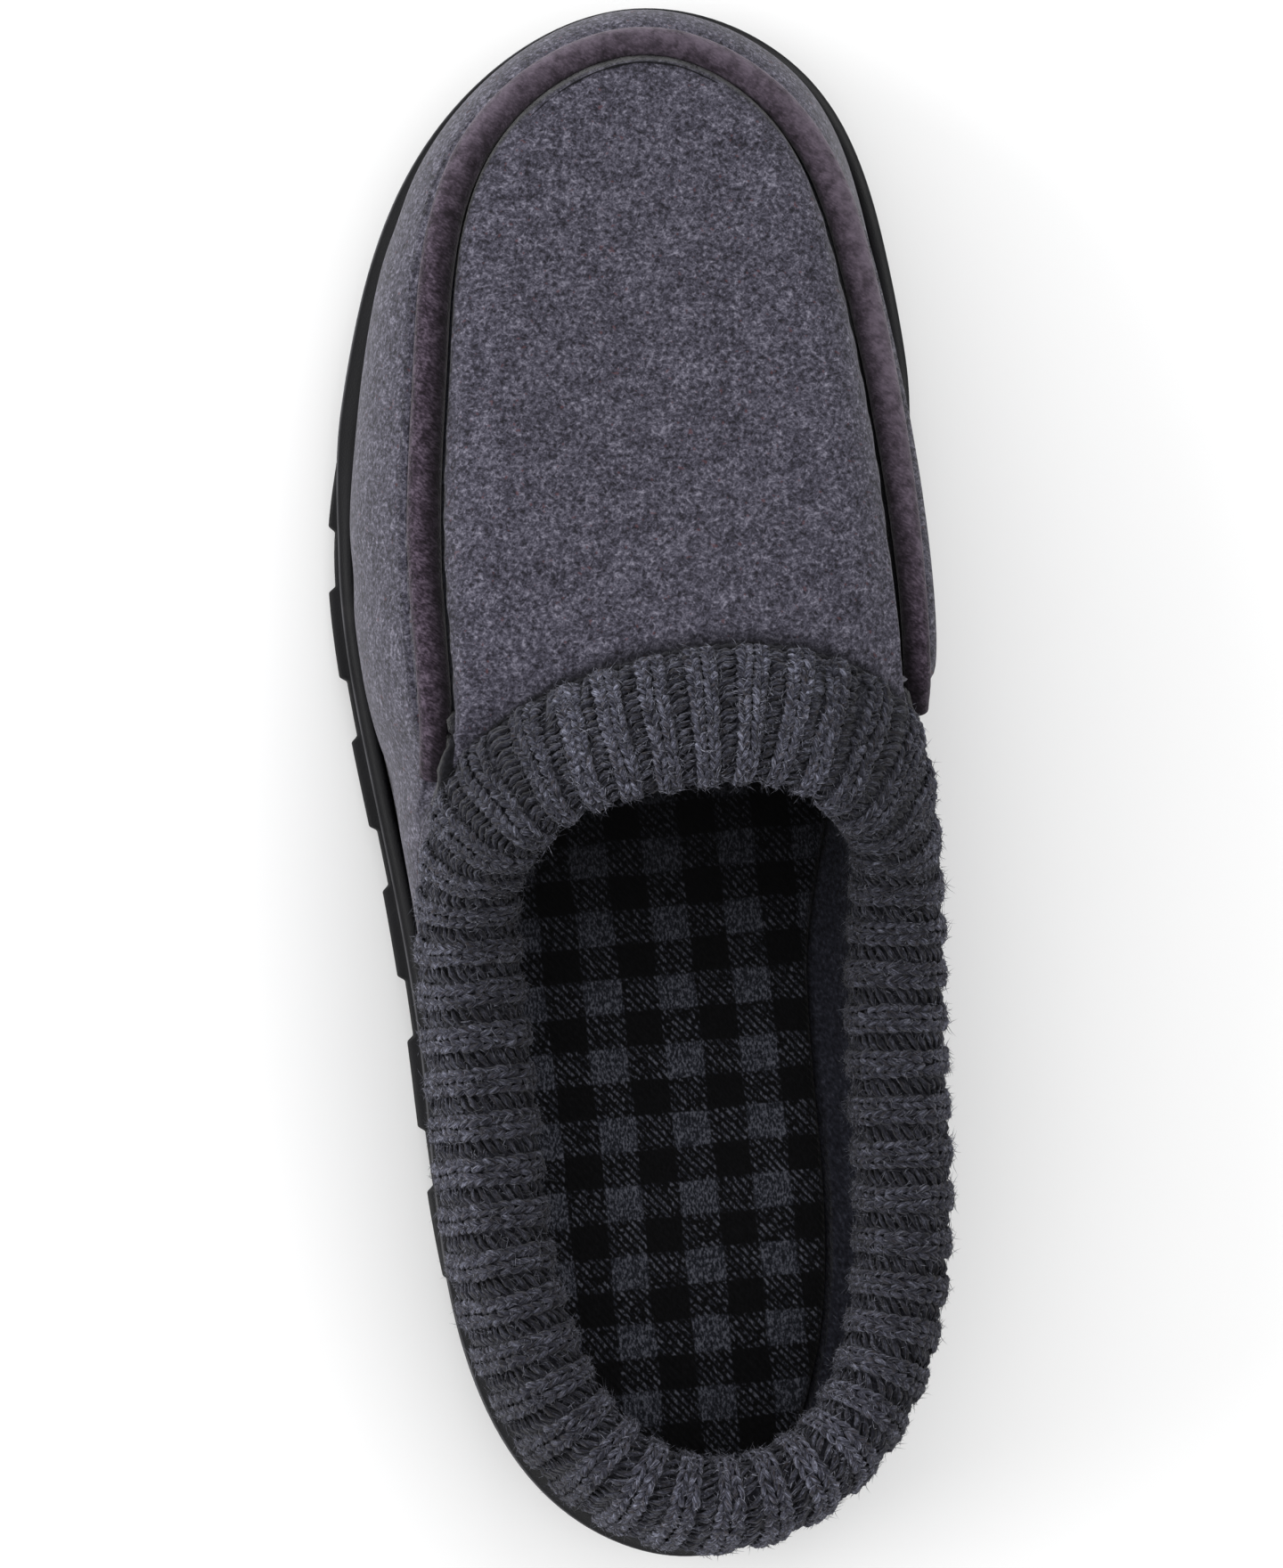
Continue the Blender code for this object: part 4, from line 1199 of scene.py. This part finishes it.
def read_grid(grid, wale, course):
    """Bilinear reading of a closed grid at wale and course numbers."""
    a = np.asarray(wale) * GROUND_WALES / WALES % GROUND_WALES
    b = np.asarray(course) * GROUND_COURSES / COURSES % GROUND_COURSES
    i, j = np.floor(a).astype(int), np.floor(b).astype(int)
    u, v = column(a - i), column(b - j)
    i, j = i % GROUND_WALES, j % GROUND_COURSES
    k, m = (i + 1) % GROUND_WALES, (j + 1) % GROUND_COURSES
    return (grid[i, j] * (1 - u) + grid[k, j] * u) * (1 - v) + (grid[i, m] * (1 - u) + grid[k, m] * u) * v


STITCH_SIDES = 5
FIRST_COURSE = 0.15
LAST_COURSE = COURSES - FIRST_COURSE - 0.6

# How much one stitch differs from the next: sideways (wales), along (courses), in size (share) and in height
JITTER = (0.05, 0.09, 0.09, 0.00012)

# Within these courses of the foot the stitches sink by the depth
SEAT_COURSES = (0.3, 2.5)
SEAT_DEPTH = 0.0002

# The fibre pattern's turn round and length along a stitch, and the range of its starts
YARN_TWIST = 2.2
YARN_RUN = 3
YARN_STARTS = 60

# Columns: across (wales), along (courses), lift (metres), half width and half height (metres) at WALE_WIDTH
KNIT_LEG = np.array((
    (0.08, -0.50, -0.0011, 0.00036, 0.00026),
    (0.19, -0.15, -0.0004, 0.00070, 0.00044),
    (0.32, 0.25, -0.0002, 0.00080, 0.00050),
    (0.43, 0.65, -0.0004, 0.00070, 0.00044),
    (0.50, 1.05, -0.0011, 0.00036, 0.00026),
))
PURL_BUMP = np.array((
    (-0.62, -0.60, -0.0010, 0.00040, 0.00028),
    (-0.30, -0.18, -0.0003, 0.00072, 0.00046),
    (0.00, 0.08, 0.0000, 0.00086, 0.00054),
    (0.30, 0.30, -0.0003, 0.00072, 0.00046),
    (0.62, 0.70, -0.0010, 0.00040, 0.00028),
))


def stitch_mesh(name, surface, wales, courses, path, mirror, material):
    """One closed teardrop of yarn per wale and course pair, along a path given in wales and courses."""
    points, normals, moved = surface
    count = len(wales)
    steps = len(path)
    jitter = random.normal(0, 1, (count, 4))
    across = path[None, :, 0] * mirror[:, None] + JITTER[0] * jitter[:, :1]
    along = path[None, :, 1] + JITTER[1] * jitter[:, 1:2]
    by_course, by_pair, by_wale = WAVE_TURNS
    wave = WALE_WAVE * np.sin(by_course * courses + by_pair * np.floor(wales / 2)) * np.sin(by_wale * wales)
    wale = wales[:, None] + across + wave[:, None]
    course = courses[:, None] + along
    wale = wale + read_grid(moved, wale, course)[..., 0]
    normal = unit(read_grid(normals, wale, course))
    pitch = read_grid(points, wales + 0.5, courses) - read_grid(points, wales - 0.5, courses)
    size = np.linalg.norm(pitch, axis=1, keepdims=True) / WALE_WIDTH * (1 + JITTER[2] * jitter[:, 2:3])
    seated = ease(np.minimum(courses, COURSES - courses), *SEAT_COURSES)[:, None]
    lift = path[None, :, 2] + JITTER[3] * jitter[:, 3:4] - SEAT_DEPTH * (1 - seated)
    centre = read_grid(points, wale, course) + normal * lift[..., None]
    travel = unit(np.gradient(centre, axis=1))
    side = unit(np.cross(travel, normal))
    top = np.cross(side, travel)
    turn = np.arange(STITCH_SIDES) * 2 * math.pi / STITCH_SIDES
    wide = side[:, :, None] * np.cos(turn)[None, None, :, None] * path[None, :, 3, None, None]
    high = top[:, :, None] * np.sin(turn)[None, None, :, None] * path[None, :, 4, None, None]
    rings = centre[:, :, None] + (wide + high) * size[..., None, None]
    base = np.arange(count)[:, None] * steps * STITCH_SIDES
    one = quads(steps, STITCH_SIDES, False, True)
    faces = (base[:, :, None] + one[None]).reshape(-1, 4)
    ends = np.arange(STITCH_SIDES)
    caps = np.concatenate((base + ends[::-1], base + (steps - 1) * STITCH_SIDES + ends))
    obj = add_mesh(name, rings.reshape(-1, 3), faces, caps)
    twist = turn[None, None, :] + np.linspace(0, YARN_TWIST, steps)[None, :, None] * mirror[:, None, None]
    run = np.broadcast_to(np.linspace(0, YARN_RUN, steps)[None, :, None], twist.shape)
    starts = random.uniform(0, YARN_STARTS, (count, 1, 1, 3))
    fibre = np.stack((run, np.cos(twist), np.sin(twist)), axis=-1) + starts
    attribute = obj.data.attributes.new("fibre", "FLOAT_VECTOR", "POINT")
    attribute.data.foreach_set("vector", fibre.astype(np.float32).ravel())
    dress(obj, material, "charcoal_knit", "knit_collar")


# Piece, number of fibres, how steeply they rise and how long they are (metres)
FUZZ = (
    ("knit_fuzz", 15000, (0.04, 0.40), (0.0012, 0.0034)),
    ("knit_fuzz_short", 6500, (0.10, 0.80), (0.0008, 0.0018)),
)
FIBRE_RADIUS = 0.000062
FIBRE_BOW = 0.45
# Where the rings of a fibre sit along it, and their share of the radius
FIBRE_RINGS = ((0.0, 1.0), (0.55, 0.8))
FUZZ_EDGE = 0.8
FUZZ_FLATNESS = 0.8
ROOT_DEPTH = 0.0001
THIRD_TURN = 2.0944


def hair_mesh(name, roots, directions, lengths):
    """Bent three-sided fibres that taper to a point, from arrays of roots and directions."""
    count = len(roots)
    side = unit(np.cross(directions, random.normal(0, 1, (count, 3))))
    other = np.cross(directions, side)
    bow = side * column(random.uniform(-FIBRE_BOW, FIBRE_BOW, count))
    rings = []
    for share, width in FIBRE_RINGS:
        centre = roots + (directions + bow * share) * column(lengths * share)
        for turn in (0.0, THIRD_TURN, 2 * THIRD_TURN):
            rings.append(centre + (side * math.cos(turn) + other * math.sin(turn)) * FIBRE_RADIUS * width)
    tip = roots + (directions + bow) * column(lengths)
    points = np.stack(rings + [tip], axis=1)
    sides = np.array([(i, (i + 1) % 3, (i + 1) % 3 + 3, i + 3) for i in range(3)])
    ends = np.array([(3, 4, 6), (4, 5, 6), (5, 3, 6), (2, 1, 0)])
    base = np.arange(count)[:, None, None] * 7
    faces = [(base + group[None]).reshape(-1, group.shape[1]) for group in (sides, ends)]
    return add_mesh(name, points.reshape(-1, 3), *faces)


def loose_directions(normals, rise):
    """Fibre directions that lie along the surface, raised by a little of its normal."""
    any_way = random.normal(0, 1, normals.shape)
    flat = unit(any_way - normals * dot(any_way, normals))
    along = unit(any_way * (1 - FUZZ_FLATNESS) + flat * FUZZ_FLATNESS)
    return unit(along + normals * column(random.uniform(*rise, len(normals))))


# The backing lies GROUND_DEPTH under the face, but near the foot only this share of it, easing over these
# courses. It keeps every second line of the fine grid one way and every fourth the other
SHALLOW = 0.1
DEEPENING = (0.2, 2.2)
KEPT = (slice(None, None, 2), slice(None, None, 4))

# Brightness of the yarn; the purl bumps' copy is darker, painted shade for the rib hollows they sit in
RIB_YARN = 0.93
SHADED_PURL_YARN = 0.54


def stitch_places(wales):
    """Each wale with each stitch's place round the section, as two flat arrays."""
    shown = np.linspace(FIRST_COURSE, LAST_COURSE, COURSES - 2)
    return [part.ravel() for part in np.meshgrid(wales.ravel(), shown, indexing="ij")]


def make_knit_collar():
    surface = collar_surface()
    points, normals, moved = surface
    course = np.arange(GROUND_COURSES)[KEPT[1]] * COURSES / GROUND_COURSES
    from_foot = np.minimum(course, COURSES - course)
    depth = GROUND_DEPTH * (SHALLOW + (1 - SHALLOW) * ease(from_foot, *DEEPENING))
    ground = points[KEPT] - normals[KEPT] * depth[None, :, None]
    backing = add_mesh("knit_ground", ground.reshape(-1, 3), quads(*ground.shape[:2], True, True))
    wale = np.arange(GROUND_WALES)[KEPT[0], None] / FINE
    point_attribute(backing, "ridge", rib_share(wale - moved[KEPT][..., 0]))
    dress(backing, backing_material(), "charcoal_knit", "knit_collar")
    first = np.arange(RIB_COUNT)[:, None] * 4
    wale, course = stitch_places(first + KNIT_WALES)
    for name, mirror in (("knit_legs_left", -1.0), ("knit_legs_right", 1.0)):
        mirrors = np.full(len(wale), mirror)
        stitch_mesh(name, surface, wale, course, KNIT_LEG, mirrors, yarn_material(name, RIB_YARN))
    wale, course = stitch_places(first + PURL_WALE)
    # A darker copy of the yarn, painted shade for the purl bumps in the rib hollows
    yarn = yarn_material("purl_yarn", SHADED_PURL_YARN)
    stitch_mesh("purl_bumps", surface, wale, course, PURL_BUMP, np.ones(len(wale)), yarn)
    material = hair_material()
    for name, count, rise, lengths in FUZZ:
        wale = random.uniform(0, WALES, count)
        course = random.uniform(FUZZ_EDGE, COURSES - FUZZ_EDGE, count)
        normal = unit(read_grid(normals, wale, course))
        roots = read_grid(points, wale, course) - normal * ROOT_DEPTH
        directions = loose_directions(normal, rise)
        hairs = hair_mesh(name, roots, directions, random.uniform(*lengths, count))
        dress(hairs, material, "charcoal_knit")


SEAM_STITCHES = 250
SEAM_STEPS = 5
SEAM_SIDES = 6
SEAM_RADIUS = 0.0007
SEAM_INSIDE = 0.0008
SEAM_RISE = 0.0001
# How far each stitch moves in and out, and how much it swells
SEAM_BEAT = 0.00012
SEAM_SWELL = 0.12


def make_collar_seam():
    """The overlocked edge that closes the joint between the felt and the knit."""
    count = SEAM_STITCHES * SEAM_STEPS
    stations = even_stations(lambda s: collar_frame(s)[0], count)
    _, axis, side = collar_frame(stations)
    inward = unit(side) * np.where(dot(side, outward_at(stations)) > 0, -1, 1)
    phase = 2 * math.pi * np.arange(count) / SEAM_STEPS
    beat = SEAM_INSIDE + SEAM_BEAT * np.sin(phase)[:, None]
    middle = edge_at(stations) + inward * beat + unit(axis) * SEAM_RISE
    travel = unit(np.roll(middle, -1, axis=0) - np.roll(middle, 1, axis=0))
    up = np.cross(travel, inward)
    turn = np.arange(SEAM_SIDES) * 2 * math.pi / SEAM_SIDES
    radius = SEAM_RADIUS * (1 + SEAM_SWELL * np.cos(phase))[:, None, None]
    ring = inward[:, None] * np.cos(turn)[None, :, None] + up[:, None] * np.sin(turn)[None, :, None]
    grid = middle[:, None] + ring * radius
    cord = add_mesh("collar_seam_thread", grid.reshape(-1, 3), quads(count, SEAM_SIDES, True, True))
    dress(cord, thread_material(), "dark_thread")


# Stage: floor, light and camera

CAMERA_TARGET = Vector((-0.0052, 0.0, 0.035))
CAMERA_TILT = math.radians(9.0)
CAMERA_ROLL = math.radians(5.2)
CAMERA_DISTANCE = 1.6
CAMERA_LENS = 195.25

FLOOR_REACH = 3.0
FLOOR_DROP = 0.0002
FLOOR_POINTS = 13

# Name, direction, distance, size in metres and power in watts
LIGHTS = (
    ("key", (-0.93, 0.12, 0.36), 1.6, 1.4, 18.5),
    ("toe_fill", (0.10, 0.90, 0.42), 1.6, 1.2, 9.0),
)


def make_camera():
    towards = Vector((-math.sin(CAMERA_TILT), 0, math.cos(CAMERA_TILT)))
    level = Vector((math.cos(CAMERA_TILT), 0, math.sin(CAMERA_TILT)))
    toe = Vector((0, 1, 0))
    right = level * math.cos(CAMERA_ROLL) - toe * math.sin(CAMERA_ROLL)
    up = toe * math.cos(CAMERA_ROLL) + level * math.sin(CAMERA_ROLL)
    data = bpy.data.cameras.new("camera")
    data.lens = CAMERA_LENS
    camera = bpy.data.objects.new("camera", data)
    bpy.context.scene.collection.objects.link(camera)
    rotation = Matrix((right, up, towards)).transposed()
    camera.matrix_world = Matrix.Translation(CAMERA_TARGET + towards * CAMERA_DISTANCE) @ rotation.to_4x4()
    bpy.context.scene.camera = camera


def make_light(name, direction, distance, size, power):
    data = bpy.data.lights.new(name, "AREA")
    data.shape = "DISK"
    data.size = size
    data.energy = power
    lamp = bpy.data.objects.new(name, data)
    bpy.context.scene.collection.objects.link(lamp)
    towards = Vector(direction).normalized()
    lamp.location = towards * distance
    lamp.rotation_mode = "QUATERNION"
    lamp.rotation_quaternion = towards.to_track_quat("Z", "Y")


def make_stage():
    side = np.linspace(-FLOOR_REACH, FLOOR_REACH, FLOOR_POINTS)
    x, y = np.meshgrid(side, side, indexing="ij")
    points = np.stack((x, y, np.full_like(x, -FLOOR_DROP)), axis=-1)
    floor = add_mesh("studio_floor", points.reshape(-1, 3), quads(FLOOR_POINTS, FLOOR_POINTS, False, False))
    floor.data.materials.append(floor_material())
    world = bpy.data.worlds.new("studio")
    world.use_nodes = True
    background = world.node_tree.nodes["Background"].inputs
    background["Color"].default_value = (1.0, 1.0, 1.0, 1.0)
    background["Strength"].default_value = 1.0
    bpy.context.scene.world = world
    for light in LIGHTS:
        make_light(*light)
    bpy.context.scene.view_settings.view_transform = "Standard"


def main():
    make_outsole()
    make_upper(felt_material())
    make_piping()
    make_insole()
    make_knit_collar()
    make_collar_seam()
    make_stage()
    make_camera()


main()
